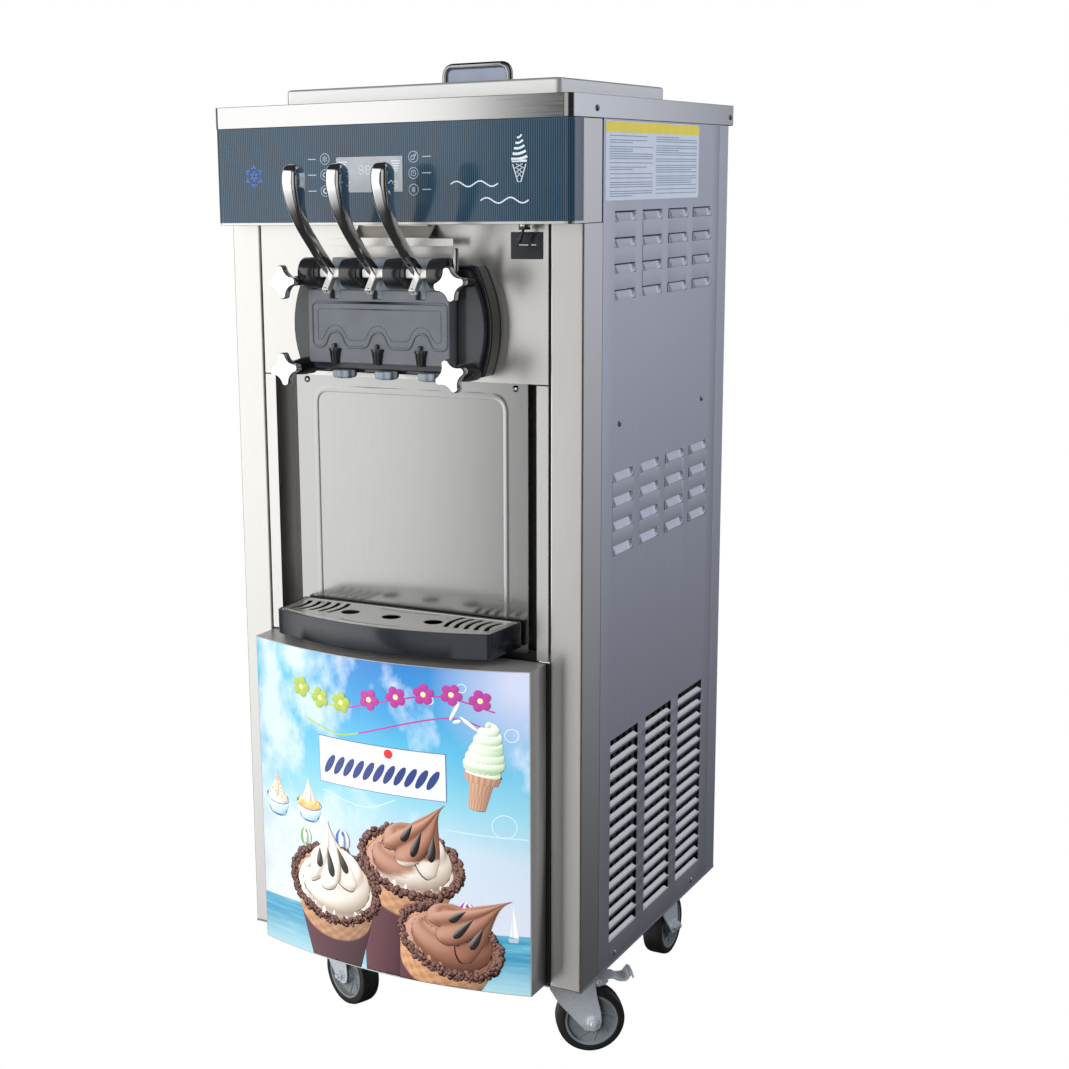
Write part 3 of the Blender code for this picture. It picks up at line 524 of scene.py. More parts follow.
def finish_piece(name, bm, look, body="cabinet", replaced=(), sharp=35, at_face=True):
    """Turn a bmesh in cabinet coordinates into a piece that rides on a body."""
    bmesh.ops.remove_doubles(bm, verts=bm.verts, dist=1e-6)
    bmesh.ops.recalc_face_normals(bm, faces=bm.faces)
    if at_face:
        bmesh.ops.translate(bm, vec=(0, FACE, 0), verts=bm.verts)
    mesh = bpy.data.meshes.new(name)
    bm.to_mesh(mesh)
    bm.free()
    mesh.shade_smooth()
    mesh.set_sharp_from_angle(angle=math.radians(sharp))
    made = bpy.data.objects.new(name, mesh)
    bpy.context.scene.collection.objects.link(made)
    slot, material = LOOKS[look]
    mesh.materials.append(material)
    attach(made, body)
    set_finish(made, slot)
    if replaced:
        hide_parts(*replaced)
    return made


def thicken(made, thickness, offset=-1.0):
    """Give a sheet its thickness."""
    solid = made.modifiers.new("thickness", "SOLIDIFY")
    solid.thickness = thickness
    solid.offset = offset
    solid.use_even_offset = False
    return flatten(made)


def flatten(made):
    """Keep broad faces flat in their shading."""
    even = made.modifiers.get("even") or made.modifiers.new("even", "WEIGHTED_NORMAL")
    even.weight = 100
    even.keep_sharp = True
    made.modifiers.move(list(made.modifiers).index(even), len(made.modifiers) - 1)
    return made


def soften(made, width, segments=2, angle=30):
    """Round a piece's edges."""
    edge = made.modifiers.new("edges", "BEVEL")
    edge.width = width
    edge.segments = segments
    edge.limit_method = "ANGLE"
    edge.angle_limit = math.radians(angle)
    return flatten(made)


def crisp(node, look, width, segments=2):
    """A copy of a CAD node's own shape with rounded edges, standing for the node."""
    source = frame["nodes"][node]
    bm = bmesh.new()
    bm.from_mesh(source.data)
    bmesh.ops.remove_doubles(bm, verts=bm.verts, dist=1e-6)
    bmesh.ops.dissolve_limit(bm, angle_limit=math.radians(1.0), verts=bm.verts, edges=bm.edges)
    made = finish_piece(f"{node}_shape", bm, look, source["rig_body"], [node], at_face=False)
    if width:
        soften(made, width, segments)
    return made


def keep(node, look):
    """Keep a CAD node's shape and give it a better material."""
    slot, material = LOOKS[look]
    part = frame["nodes"][node]
    part.data.materials.clear()
    part.data.materials.append(material)
    part["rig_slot"] = slot


# Camera and lights

def studio():
    """Camera at the viewing angle, fill lights and the surround."""
    scene = bpy.context.scene
    lens = bpy.data.cameras.new("camera")
    lens.lens = 59.247
    lens.sensor_width = 36.0
    lens.shift_x = 0.12879
    lens.shift_y = 0.01777
    camera = bpy.data.objects.new("camera", lens)
    camera.location = (1.19726, -2.06462 + FACE, 1.24547)
    camera.rotation_euler = [math.radians(angle) for angle in (78.2126, 0.98395, 30.1241)]
    scene.collection.objects.link(camera)
    scene.camera = camera

    def light(name, at, aim, size, power, tint=(1, 1, 1)):
        data = bpy.data.lights.new(name, "AREA")
        data.shape = "RECTANGLE"
        data.size, data.size_y = size
        data.energy = power
        data.color = tint
        lamp = bpy.data.objects.new(name, data)
        lamp.location = at
        lamp.rotation_euler = (Vector(aim) - Vector(at)).to_track_quat("-Z", "Y").to_euler()
        lamp.visible_glossy = False
        scene.collection.objects.link(lamp)

    light("fill_front", (-0.3, -3.6, 1.9), (0, 0, 0.7), (2.6, 2.0), 175)
    light("fill_right", (3.2, 0.6, 2.6), (0, 0, 0.8), (1.6, 1.6), 85, (0.93, 0.95, 1.0))
    light("fill_back", (-1.6, 3.0, 2.0), (0, 0, 0.7), (1.6, 1.6), 60)
    scene.world = surround()
    scene.view_settings.view_transform = "Standard"


def surround():
    """White backdrop for the camera; for the machine, soft panels in a dark room."""
    world = bpy.data.worlds.new("surround")
    world.use_nodes = True
    tree = world.node_tree
    background = tree.nodes["Background"]

    def node(kind, *inputs, operation=None):
        made = tree.nodes.new(kind)
        if operation:
            made.operation = operation
        for socket, value in zip(made.inputs, inputs):
            if isinstance(value, bpy.types.NodeSocket):
                tree.links.new(value, socket)
            else:
                socket.default_value = value
        return made.outputs[0]

    def rise(value, low, high):
        made = tree.nodes.new("ShaderNodeMapRange")
        made.interpolation_type = "SMOOTHSTEP"
        tree.links.new(value, made.inputs[0])
        made.inputs[1].default_value = low
        made.inputs[2].default_value = high
        return made.outputs[0]

    def product(*factors):
        result = factors[0]
        for factor in factors[1:]:
            result = node("ShaderNodeMath", result, factor, operation="MULTIPLY")
        return result

    direction = tree.nodes.new("ShaderNodeTexCoord").outputs["Generated"]
    split = tree.nodes.new("ShaderNodeSeparateXYZ")
    tree.links.new(direction, split.inputs[0])
    x, y, z = split.outputs
    minus_x = product(x, -1.0)
    minus_y = product(y, -1.0)
    minus_z = product(z, -1.0)
    left_of_front = node("ShaderNodeMath", minus_x, minus_y, operation="ARCTAN2")
    right_of_front = product(left_of_front, -1.0)
    right_of_back = node("ShaderNodeMath", x, y, operation="ARCTAN2")
    left_of_back = product(right_of_back, -1.0)
    panels = (
        (1.70, (rise(left_of_front, 0.445, 0.505), rise(right_of_front, -1.35, -1.05),
                rise(z, -0.85, -0.10), rise(minus_z, -0.56, -0.36))),
        (1.05, (rise(right_of_back, 0.24, 0.44), rise(left_of_back, -1.05, -0.70),
                rise(z, -0.48, 0.12), rise(minus_z, -0.80, -0.50))),
        (1.10, (rise(right_of_back, 1.28, 1.30), rise(left_of_back, -1.36, -1.34),
                rise(z, -0.50, -0.40), rise(minus_z, -0.60, -0.50))),
        (0.50, (rise(left_of_back, 0.35, 0.60), rise(right_of_back, -1.60, -1.40),
                rise(z, -0.62, -0.20), rise(minus_z, -0.70, -0.40))),
        (0.60, (rise(right_of_front, -0.36, -0.20), rise(left_of_front, -0.60, -0.40),
                rise(z, -0.85, -0.20), rise(minus_z, -0.60, -0.40))),
    )
    total = 0.030
    glows = [product(power, *factors) for power, factors in panels]
    for glow in glows:
        total = node("ShaderNodeMath", glow, total, operation="ADD")
    sight = tree.nodes.new("ShaderNodeLightPath").outputs["Is Camera Ray"]
    strength = tree.nodes.new("ShaderNodeMix")
    tree.links.new(sight, strength.inputs[0])
    tree.links.new(total, strength.inputs[2])
    strength.inputs[3].default_value = 1.0
    tree.links.new(strength.outputs[0], background.inputs["Strength"])
    share = node("ShaderNodeMath", glows[1], total, operation="DIVIDE")
    unseen = node("ShaderNodeMath", 1.0, sight, operation="SUBTRACT")
    cool = tree.nodes.new("ShaderNodeMix")
    cool.data_type = "RGBA"
    tree.links.new(product(share, unseen), cool.inputs[0])
    cool.inputs[6].default_value = (1.0, 1.0, 1.0, 1.0)
    cool.inputs[7].default_value = (0.84, 0.88, 1.0, 1.0)
    tree.links.new(cool.outputs[2], background.inputs["Color"])
    return world


# The cabinet

def screws(name, places, body="cabinet", radius=0.0042):
    """Pan-head screws with a cross recess, each at a point with its outward direction."""
    bm = bmesh.new()
    profile = [(radius, -0.0002), (radius, 0.0006), (radius * 0.8, 0.0016), (radius * 0.45, 0.0021)]
    profile += [(radius * 0.40, 0.0010), (0, 0.0008)]
    for at, out in places:
        add_lathe(bm, profile, Vector(at), out, 20)
    finish_piece(name, bm, "screw", body)


def cabinet_skins():
    """Columns, cap, back and the panels of the front."""
    for side in ("left", "right"):
        crisp(f"front_column_{side}", "steel", 0.0005)
        # Dark strip behind the column's inner edge: painted shade in the gap between column and panel
        bm = bmesh.new()
        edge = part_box(f"front_column_{side}")[0 if side == "right" else 1].x
        fold = edge - math.copysign(0.022, edge)
        add_box(bm, (min(edge, fold), 0.0012, BODY_LOW), (max(edge, fold), 0.0024, DOOR_HIGH.z))
        finish_piece(f"column_gap_shade_{side}", bm, "dark")
    for node in ("upper_front_panel", "alcove_frame", "header_housing", "deflector_bracket"):
        crisp(node, "steel", 0.0004)
    crisp("rear_panel", "side", 0.0004)
    crisp("base_frame", "base", 0.0005)
    crisp("top_cap", "cap", 0.0012, 3)
    both = (-1, 1)
    places = [((side * (HALF + 0.001), y, 1.338), (side, 0, 0)) for side in both for y in (0.0384, 0.5289)]
    screws("cap_screws", places)
    on_side = ((0.1195, 0.9277), (0.4288, 0.9277), (0.117, 0.165), (0.4205, 0.165))
    places = [((side * HALF, y, z), (side, 0, 0)) for side in both for y, z in on_side]
    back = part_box("rear_panel")[1].y - FACE
    places += [((x, back, z), (0, 1, 0)) for x in (-0.24, 0.24) for z in (0.18, 0.70, 1.25)]
    screws("panel_screws", places)


VENT = (0.0725, 0.0135)
VENT_BLOCKS = ((0.0991, 1.209, 0.0945, 0.0341), (0.0990, 0.863, 0.0944, 0.0338))
SLOT = (0.0993, 0.0150)


def side_cells():
    """Front edges and low edges of the pressed vents and of the louvre slots on a side panel."""
    vents = []
    for start, top, step_y, step_z in VENT_BLOCKS:
        for row in range(4):
            vents += [(start + step_y * column, top - VENT[1] - step_z * row) for column in range(4)]
    slots = []
    for column in range(3):
        slots += [(0.0977 + 0.1278 * column, 0.189 + 0.0202 * row) for row in range(15)]
    return vents, slots


def side_sheet(side, sign):
    """Side panel with pressed vents and louvre slots."""
    vents, slots = side_cells()
    holes = [(y, z, y + VENT[0], z + VENT[1]) for y, z in vents]
    holes += [(y, z, y + SLOT[0], z + SLOT[1]) for y, z in slots]
    low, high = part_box(f"side_panel_{side}")
    ys = {round(v, 5) for hole in holes for v in (hole[0], hole[2])}
    ys = sorted(ys | {SEAM_FRONT + 0.0004, SEAM_BACK})
    zs = {round(v, 5) for hole in holes for v in (hole[1], hole[3])}
    zs = sorted(zs | {low.z, high.z})
    skip = set()
    for j in range(len(zs) - 1):
        for i in range(len(ys) - 1):
            y = (ys[i] + ys[i + 1]) / 2
            z = (zs[j] + zs[j + 1]) / 2
            if any(hole[0] < y < hole[2] and hole[1] < z < hole[3] for hole in holes):
                skip.add((i, j))
    bm = bmesh.new()
    sheet(bm, ys, zs, lambda y, z: Vector((sign * HALF, y, z)), skip)
    made = finish_piece(f"side_sheet_{side}", bm, "side", "cabinet", [f"side_panel_{side}"], sharp=50)
    thicken(made, 0.0012)
    # The louvre lips take the slat look, a painted highlight
    for name, look, places, shape, thickness in (
        ("vents", "side", vents, pressed_vent, 0.0010),
        ("louvres", "slat", slots, louvre_lip, 0.0009),
    ):
        bm = bmesh.new()
        for y, z in places:
            shape(bm, sign, y, z)
        thicken(finish_piece(f"side_{name}_{side}", bm, look, sharp=50), thickness)


def pressed_vent(bm, sign, y, z):
    """One vent: its low edge is flush, and it is pressed inwards towards its open top edge."""
    depth = 0.0046
    shares = [0, 0.03, 0.06, 0.09, 0.12, 0.15, 0.19, 0.24, 0.5, 0.76, 0.81, 0.85, 0.88, 0.91, 0.94, 0.97, 1]
    rises = [0, 0.08, 0.2, 0.45, 0.75, 1]

    def place(u, v):
        near_end = (min(u, 1 - u) - 0.13 * (1 - v)) / 0.10
        plateau = math.sin(max(0.0, min(near_end, 1.0)) * math.pi / 2)
        push = depth * plateau * (v ** 0.8)
        return Vector((sign * (HALF - push), y + VENT[0] * u, z + VENT[1] * v))

    sheet(bm, shares, rises, place)


def louvre_lip(bm, sign, y, z):
    """The lip bent inwards from a slot's low edge."""
    bend = [(0, 0), (0.0008, -0.0003), (0.0022, -0.0002), (0.0064, 0.0022)]
    inset = 0.0006

    def place(along, i):
        inwards, rise = bend[i]
        return Vector((sign * (HALF - inwards), along, z + rise))

    sheet(bm, [y + inset, y + SLOT[0] - inset], list(range(len(bend))), place)


def info_label():
    """Blank data label with a yellow heading band and ruled lines in two columns."""
    ply = 0.0001
    x = HALF + 2 * ply
    for name, look, low, high, radius, near, far in (
        ("data_label", "label", (0.0665, 1.2225), (0.4010, 1.3235), 0.004, 0, 2),
        ("data_label_band", "yellow", (0.0675, 1.3095), (0.4000, 1.3228), 0.003, 2, 3),
    ):
        bm = bmesh.new()
        add_plate(bm, round_rectangle(low, high, radius), side_on, x + near * ply, x + far * ply)
        finish_piece(name, bm, look)
    bm = bmesh.new()
    random.seed(11)
    for low, high in ((0.080, 0.226), (0.238, 0.392)):
        z = 1.3045
        while z > 1.2275:
            end = high - random.choice((0.0, 0.0, 0.0, 0.02, 0.07))
            add_box(bm, (x + 2 * ply, low, z), (x + 3 * ply, end, z + 0.0011))
            z -= random.choice((0.0030, 0.0030, 0.0055))
    finish_piece("data_label_lines", bm, "text")


def splash_sheet():
    """Bright panel with a raised arch line and two screws, and dark sheets of painted shade behind the gaps.
    """
    low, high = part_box("splash_panel")
    y = low.y - FACE
    bm = bmesh.new()
    add_box(bm, (-high.x, y, low.z), (high.x, y + 0.0014, high.z))
    soften(finish_piece("splash_sheet", bm, "splash", replaced=["splash_panel"]), 0.0004)
    bm = bmesh.new()
    half, foot, top = 0.150, low.z + 0.002, 0.969
    path = ease_corners([(-half, foot), (-half, top), (half, top), (half, foot)], 0.022, 8)
    add_tube(bm, [(x, y + 0.0002, z) for x, z in path], [(0.0050, 0.0005)] * len(path), 16)
    finish_piece("splash_bead", bm, "splash")
    # Dark sheet behind the gap between the door top and the splash panel: painted shade
    bm = bmesh.new()
    add_box(bm, (-0.196, y + 0.0030, DOOR_HIGH.z - 0.060), (0.196, y + 0.0042, low.z + 0.004))
    finish_piece("shelf_gap_shade", bm, "dark")
    # Dark strips behind the slits beside the upper panel: painted shade
    low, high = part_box("alcove_frame")[0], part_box("upper_front_panel")[1]
    bm = bmesh.new()
    for side in (-1, 1):
        left, right = sorted((side * (high.x + 0.0008), side * (high.x - 0.0140)))
        add_box(bm, (left, 0.0016, low.z), (right, 0.0024, high.z - 0.004))
    finish_piece("slit_gaps_shade", bm, "dark")
    screws("splash_screws", [((x, y, 0.981), (0, -1, 0)) for x in (-0.164, 0.164)], radius=0.0045)


def header_film():
    """Printed film wrapped round the header, with the window for the display."""
    low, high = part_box("lcd_window")
    gap = 0.0003
    zs = [FILM_LOW, low.z - gap, high.z + gap, FILM_TOP]
    corner = HEADER_CORNER
    left = [(-HALF, 0.0), (-HALF, HEADER_FRONT + corner)]
    left += arc((-HALF + corner, HEADER_FRONT + corner), corner, 180, 270, 10)
    right = [(-x, y) for x, y in reversed(left)]
    outline = left + [(low.x - gap, HEADER_FRONT), (high.x + gap, HEADER_FRONT)] + right
    hole = (len(left), 1)
    bm = bmesh.new()
    sheet(bm, list(range(len(outline))), zs, lambda i, z: Vector((*outline[i], z)), {hole})
    thicken(finish_piece("header_film", bm, "film", replaced=["control_film"]), 0.0008)


def rails(points, half, closed=False):
    """Pairs of points on both sides of a line of (across, up) points."""
    points = [Vector(point) for point in points]
    last = len(points) - 1
    pairs = []
    for i, point in enumerate(points):
        ahead = points[(i + 1) % (last + 1)] if closed else points[min(i + 1, last)]
        behind = points[i - 1] if closed else points[max(i - 1, 0)]
        along = (ahead - behind).normalized()
        across = Vector((-along.y, along.x)) * half
        pairs.append((point + across, point - across))
    return pairs


def strokes(bm, points, width, y=HEADER_FRONT, closed=False):
    """A flat printed line through (x, z) points on an upright face."""
    lift = 0.0002
    made = []
    for pair in rails(points, width / 2, closed):
        made.append([bm.verts.new((p.x, y - depth, p.y)) for p in pair for depth in (0, lift)])
    for a, b in zip(made, made[1:] + made[:1] * closed):
        for i, j in ((1, 3), (3, 2), (2, 0), (0, 1)):
            bm.faces.new((a[i], a[j], b[j], b[i]))
    if not closed:
        for end in (made[0], made[-1]):
            bm.faces.new((end[0], end[1], end[3], end[2]))


def ring(bm, x, z, radius, width, steps=32):
    """A printed circle."""
    strokes(bm, arc((x, z), radius, 0, 360 - 360 / steps, steps - 1), width, closed=True)


def snowflake(bm, centre, radius, width):
    """A plain six-armed flake."""
    centre = Vector(centre)
    for arm in range(6):
        angle = math.pi / 3 * arm + math.pi / 2
        out = Vector(polar(angle))
        strokes(bm, [centre + out * width, centre + out * radius], width)
        for sign in (-1, 1):
            twig = Vector(polar(angle + sign * math.pi / 4)) * radius * 0.34
            base = centre + out * radius * 0.55
            strokes(bm, [base, base + twig], width * 0.9)


def header_print():
    """Generic printed marks: six touch marks, a flake, two waves and a cone drawing."""
    bm = bmesh.new()
    for column, x in enumerate((-0.090, 0.0455)):
        for row, z in enumerate((1.2827, 1.2620, 1.2410)):
            ring(bm, x, z, 0.0070, 0.0007)
            if (column, row) == (0, 0):
                snowflake(bm, (x, z), 0.0042, 0.0007)
            elif column == 0:
                ring(bm, x, z, 0.0030, 0.0008 + 0.0006 * row, 20)
            elif row == 1:
                ring(bm, x, z, 0.0036, 0.0007, 20)
                strokes(bm, [(x, z + 0.0024), (x, z), (x + 0.0018, z)], 0.0006)
            elif row == 0:
                ring(bm, x - 0.001, z - 0.001, 0.0026, 0.0009, 20)
                ring(bm, x + 0.0024, z + 0.0024, 0.0013, 0.0006, 14)
            else:
                for bar in (-0.0016, 0, 0.0016):
                    strokes(bm, [(x + bar, z - 0.003), (x + bar, z + 0.003)], 0.0008)
            start = x - 0.0270 if column == 0 else x + 0.0130
            strokes(bm, [(start, z), (start + 0.0130, z)], 0.0011)
    finish_piece("touch_marks", bm, "faint")
    bm = bmesh.new()
    snowflake(bm, (-0.205, 1.262), 0.0150, 0.0021)
    finish_piece("header_flake", bm, "blue")
    bm = bmesh.new()
    for start, z in ((0.100, 1.247), (0.143, 1.226)):
        wave = [(start + 0.068 * t / 24, z + 0.0035 * math.sin(t / 24 * 4 * math.pi)) for t in range(25)]
        strokes(bm, wave, 0.0017)
    cone_drawing(bm, 0.198, 1.2486, 1.3066)
    finish_piece("header_drawing", bm, "line")


def cone_drawing(bm, x, low, high):
    """Line drawing of a cone with five swirled tiers."""
    rim = low + (high - low) * 0.44
    for tier in range(5):
        t = tier / 4
        half = 0.0112 * (1 - 0.72 * t)
        z = rim + 0.0040 + (high - rim - 0.006) * t
        sweep = []
        for s in range(9):
            across = 2 * s / 8 - 1
            sweep.append((x + half * across, z + 0.0016 * across - 0.0016 * math.sin(math.pi * s / 8)))
        strokes(bm, sweep, 0.0034 * (1 - 0.35 * t))
    brim, tip = 0.0092, 0.0022
    wall = rim - 0.004
    strokes(bm, [(x - 0.0105, rim), (x + 0.0105, rim)], 0.0028)
    strokes(bm, [(x - brim, wall), (x - tip, low), (x + tip, low), (x + brim, wall)], 0.0012)
    for step in range(1, 4):
        t = step / 4
        half = brim * (1 - t) + tip * t
        z = wall * (1 - t) + low * t
        for sign in (-1, 1):
            strokes(bm, [(x + sign * half, z), (x - sign * half * 0.6, z + 0.0060)], 0.0008)


def display():
    """Display window with level bars and seven-segment figures."""
    low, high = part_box("lcd_window")
    bm = bmesh.new()
    pane = round_rectangle((low.x, low.z), (high.x, high.z), 0.001, 3)
    add_plate(bm, pane, front, HEADER_FRONT, HEADER_FRONT + 0.0008)
    finish_piece("display_pane", bm, "display", replaced=["lcd_window"])
    bm = bmesh.new()
    middle = (low.x + high.x) / 2
    for bar in range(6):
        z = high.z - 0.006 - 0.0031 * bar
        for edge, inward in ((low.x, 1), (high.x, -1)):
            start, end = 0.003 + 0.0012 * bar, 0.003 + 0.014 - 0.0016 * bar
            strokes(bm, [(edge + inward * start, z), (edge + inward * end, z)], 0.0013)
    for figure in range(3):
        seven_segments(bm, middle - 0.012 + 0.0105 * figure, high.z - 0.0165, 0.0065, 0.0105)
    for figure in range(2):
        seven_segments(bm, high.x - 0.019 + 0.0085 * figure, low.z + 0.0085, 0.0052, 0.0085)
    dip = [(low.x + 0.010 + 0.012 * t / 10, low.z + 0.024 - 0.012 * (t / 10) ** 0.6) for t in range(11)]
    strokes(bm, dip, 0.0010)
    finish_piece("display_segments", bm, "line")


def seven_segments(bm, x, z, wide, tall):
    """A figure eight of seven bars."""
    half_w, half_t = wide / 2, tall / 2
    trim = 0.0006
    for level in (-half_t, 0, half_t):
        strokes(bm, [(x - half_w + trim, z + level), (x + half_w - trim, z + level)], 0.0008)
    for side in (-half_w, half_w):
        for level in (-half_t, 0):
            strokes(bm, [(x + side, z + level + trim), (x + side, z + level + half_t - trim)], 0.0008)


def switch():
    """Toggle switch under the header with its small plate behind it."""
    crisp("switch_bush", "chrome", 0.0002)
    crisp("toggle_lever", "black", 0.0)
    low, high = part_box("switch_bush")
    middle = (low + high) / 2
    bm = bmesh.new()
    add_plate(bm, hexagon(middle.x, middle.y - FACE, 0.0085), plan, low.z - 0.0002, low.z + 0.0030)
    soften(finish_piece("switch_nut", bm, "black"), 0.0005)
    bm = bmesh.new()
    add_plate(bm, round_rectangle((0.168, 1.151), (0.214, 1.1855), 0.001, 3), front, -0.0004, -0.0001)
    finish_piece("switch_plate", bm, "black")
    bm = bmesh.new()
    for start, end in ((0.180, 0.193), (0.197, 0.204)):
        strokes(bm, [(start, 1.1690), (end, 1.1690)], 0.0009, -0.0004)
    finish_piece("switch_marks", bm, "line")


# Dispensing head

def barrel(half_top, half_low, bulge, low, high, steps=16):
    """Front-view outline whose sides bulge."""
    right = []
    for share in (step / steps for step in range(steps + 1)):
        width = half_low + (half_top - half_low) * share + bulge * (1 - (2 * share - 1) ** 2)
        right.append((width, low + (high - low) * share))
    return right + [(-x, z) for x, z in reversed(right)]


def ease_outline(points, radius, steps=4):
    """Round the sharp corners of a closed outline."""
    count = len(points)
    smooth = []
    for i in range(count):
        before, corner, after = (Vector(points[(i + k) % count]) for k in (-1, 0, 1))
        back = before - corner
        onward = after - corner
        if back.angle(onward) > math.radians(150):
            smooth.append(corner)
            continue
        start = corner + back.normalized() * radius
        end = corner + onward.normalized() * radius
        smooth += [curve(start, corner, end, step / steps) for step in range(steps + 1)]
    return smooth


def head_plates():
    """Back plate of the head, its sleeves, and the block's own plate in front of it."""
    bm = bmesh.new()
    outline = ease_outline(barrel(0.1305, 0.140, 0.017, 0.9985, 1.144), 0.006)
    add_plate(bm, outline, front, -0.0250, -0.0005)
    soften(finish_piece("head_back_plate", bm, "black", replaced=["head_surround"]), 0.0022, 4, 50)
    bm = bmesh.new()
    sleeve = 0.0562
    upper = [(0.0065, 0.0), (0.0065, 0.040), (0.0058, 0.0415), (0.0058, sleeve), (0, sleeve)]
    lower = [(0.0120, 0.0), (0.0118, 0.020), (0.0095, 0.044), (0.0078, 0.050), (0.0078, sleeve), (0, sleeve)]
    for side in (-1, 1):
        for level, profile in (("upper", upper), ("lower", lower)):
            add_lathe(bm, profile, (side * KNOB_X, -0.0254, KNOB_Z[level]), (0, -1, 0), 28)
    finish_piece("knob_sleeves", bm, "black", sharp=30)
    bm = bmesh.new()
    outline = ease_outline(barrel(0.125, 0.1345, 0.017, 1.004, 1.1385), 0.005)
    add_plate(bm, outline, front, -0.0355, -0.0256)
    soften(finish_piece("head_block_plate", bm, "plate", replaced=["head_block"]), 0.0020, 4, 50)


def head_front():
    """Block front with slots for the lever feet, its bosses, raised outlines and three small drop cups."""
    bm = bmesh.new()
    half, top, slot_half = 0.108, 1.1005, 0.0064
    add_plate(bm, round_rectangle((-half, 1.0145), (half, top), 0.004), front, BLOCK_FRONT, -0.0356)
    edges = sorted([-half, half] + [x + side * slot_half for x in TAPS.values() for side in (-1, 1)])
    for low, high in zip(edges[::2], edges[1::2]):
        add_box(bm, (low, BLOCK_FRONT + 0.0002, top - 0.0045), (high, -0.0358, 1.1120))
    soften(finish_piece("block_front", bm, "face"), 0.0018, 3, 50)
    bm = bmesh.new()
    for low, high in BOSS_SPANS:
        length = high - low
        end = [(0.0048, 0), (0.0180, 0), (0.0198, 0.0012), (0.0205, 0.0032)]
        profile = end + [(radius, length - height) for radius, height in reversed(end)]
        add_lathe(bm, profile, (low, ROD_Y, ROD_Z), (1, 0, 0), 40)
        add_box(bm, (low + 0.001, ROD_Y + 0.004, 1.100), (high - 0.001, -0.0300, 1.1330))
    finish_piece("rod_bosses", bm, "black", sharp=30)
    bm = bmesh.new()
    for inset, half in ((0.0, 0.0018), (0.0088, 0.0008)):
        add_tube(bm, [(x, BLOCK_FRONT, z) for x, z in arch_outline(inset)], half, 12)
    finish_piece("block_beads", bm, "face", sharp=60)
    bm = bmesh.new()
    for x in TAPS.values():
        add_loft(bm, [cup_section(x, *row) for row in (
            (1.0140, 0.0062, 0.0045), (1.0150, 0.0066, 0.0050), (1.0300, 0.0088, 0.0062),
            (1.0320, 0.0098, 0.0070), (1.0350, 0.0098, 0.0070))])
        stud = [(0.0030, 0), (0.0030, 0.0045), (0.0024, 0.0062), (0, 0.0062)]
        add_lathe(bm, stud, (x, BLOCK_FRONT, 1.0385), (0, -1, 0), 18)
        add_box(bm, (x - 0.0020, BLOCK_FRONT - 0.0030, 1.0345), (x + 0.0020, BLOCK_FRONT + 0.0002, 1.0380))
        for rib in (-0.0045, 0.0, 0.0045):
            foot = (x + rib * 0.75, BLOCK_FRONT - 0.0049, 1.0155)
            add_tube(bm, [foot, (x + rib, BLOCK_FRONT - 0.0064, 1.0315)], 0.0009, 8)
    finish_piece("drop_cups", bm, "black", sharp=40)


def cup_section(x, z, half, deep):
    """Half-round section of a small cup on the block's front."""
    angles = (math.pi * k / 14 for k in range(15))
    points = [(x + half * math.cos(angle), BLOCK_FRONT - deep * math.sin(angle), z) for angle in angles]
    return points + [(x - half, BLOCK_FRONT + 0.0010, z), (x + half, BLOCK_FRONT + 0.0010, z)]


def arch_outline(inset):
    """Outline on the block front: a rounded frame whose low side arches over each outlet."""
    left, right = -0.1015 + inset, 0.1045 - inset
    top = 1.0955 - inset
    low = 1.0360 + inset * 1.1
    radius = 0.0118 + inset * 0.40
    peak = low + 0.0205 - inset * 0.10
    corners = [(0.0, top), (left, top), (left, low)]
    for x in TAPS.values():
        corners.append((x - radius - 0.0050, low))
        corners += arc((x, peak - radius), radius, 160, 20, 14)
        corners.append((x + radius + 0.0050, low))
    corners += [(right, low), (right, top), (0.0, top)]
    return ease_corners(corners, 0.0080 - inset * 0.35, 5)


def plungers_and_caps():
    """Grey valve plungers with O-ring grooves and the lobed outlet caps."""
    foot = 1.0160
    tall = 1.1536 - foot
    plunger = [(0.0120, 0), (0.0135, 0.0015), (0.0135, 0.010), (0.0120, 0.0112), (0.0120, 0.0135)]
    plunger += [(0.0135, 0.0147), (0.0135, tall - 0.0012), (0.0126, tall), (0.0080, tall)]
    plunger += [(0.0070, tall - 0.0015), (0, tall - 0.0015)]
    lip = [(0.0105, 0.0095), (0.0105, -0.0016), (0.0065, -0.0016), (0.0062, 0.0002), (0, 0.0002)]
    for side, x in TAPS.items():
        bm = bmesh.new()
        add_lathe(bm, plunger, (x, PLUNGER_Y, foot), steps=36)
        finish_piece(f"valve_plunger_{side}", bm, "grey", f"valve_{side}", [f"plunger_{side}"], sharp=25)
        bm = bmesh.new()
        rings = []
        for z, scale in ((0.9935, 0.90), (0.9948, 0.97), (0.9960, 1.0), (1.0020, 1.0), (1.0033, 0.97)):
            rings.append([(x + a * scale, PLUNGER_Y + b * scale, z) for a, b in lobes(0.0155, 0.0012, 8, 48)])
        add_loft(bm, rings)
        add_lathe(bm, lip, (x, PLUNGER_Y, 0.9940), steps=30)
        finish_piece(f"outlet_nozzle_{side}", bm, "grey", replaced=[f"outlet_cap_{side}"], sharp=40)


def lobes(radius, swing, count, steps):
    """Points of a lobed outline."""
    return [polar(angle, radius + swing * math.cos(count * angle)) for angle in circle(steps)]


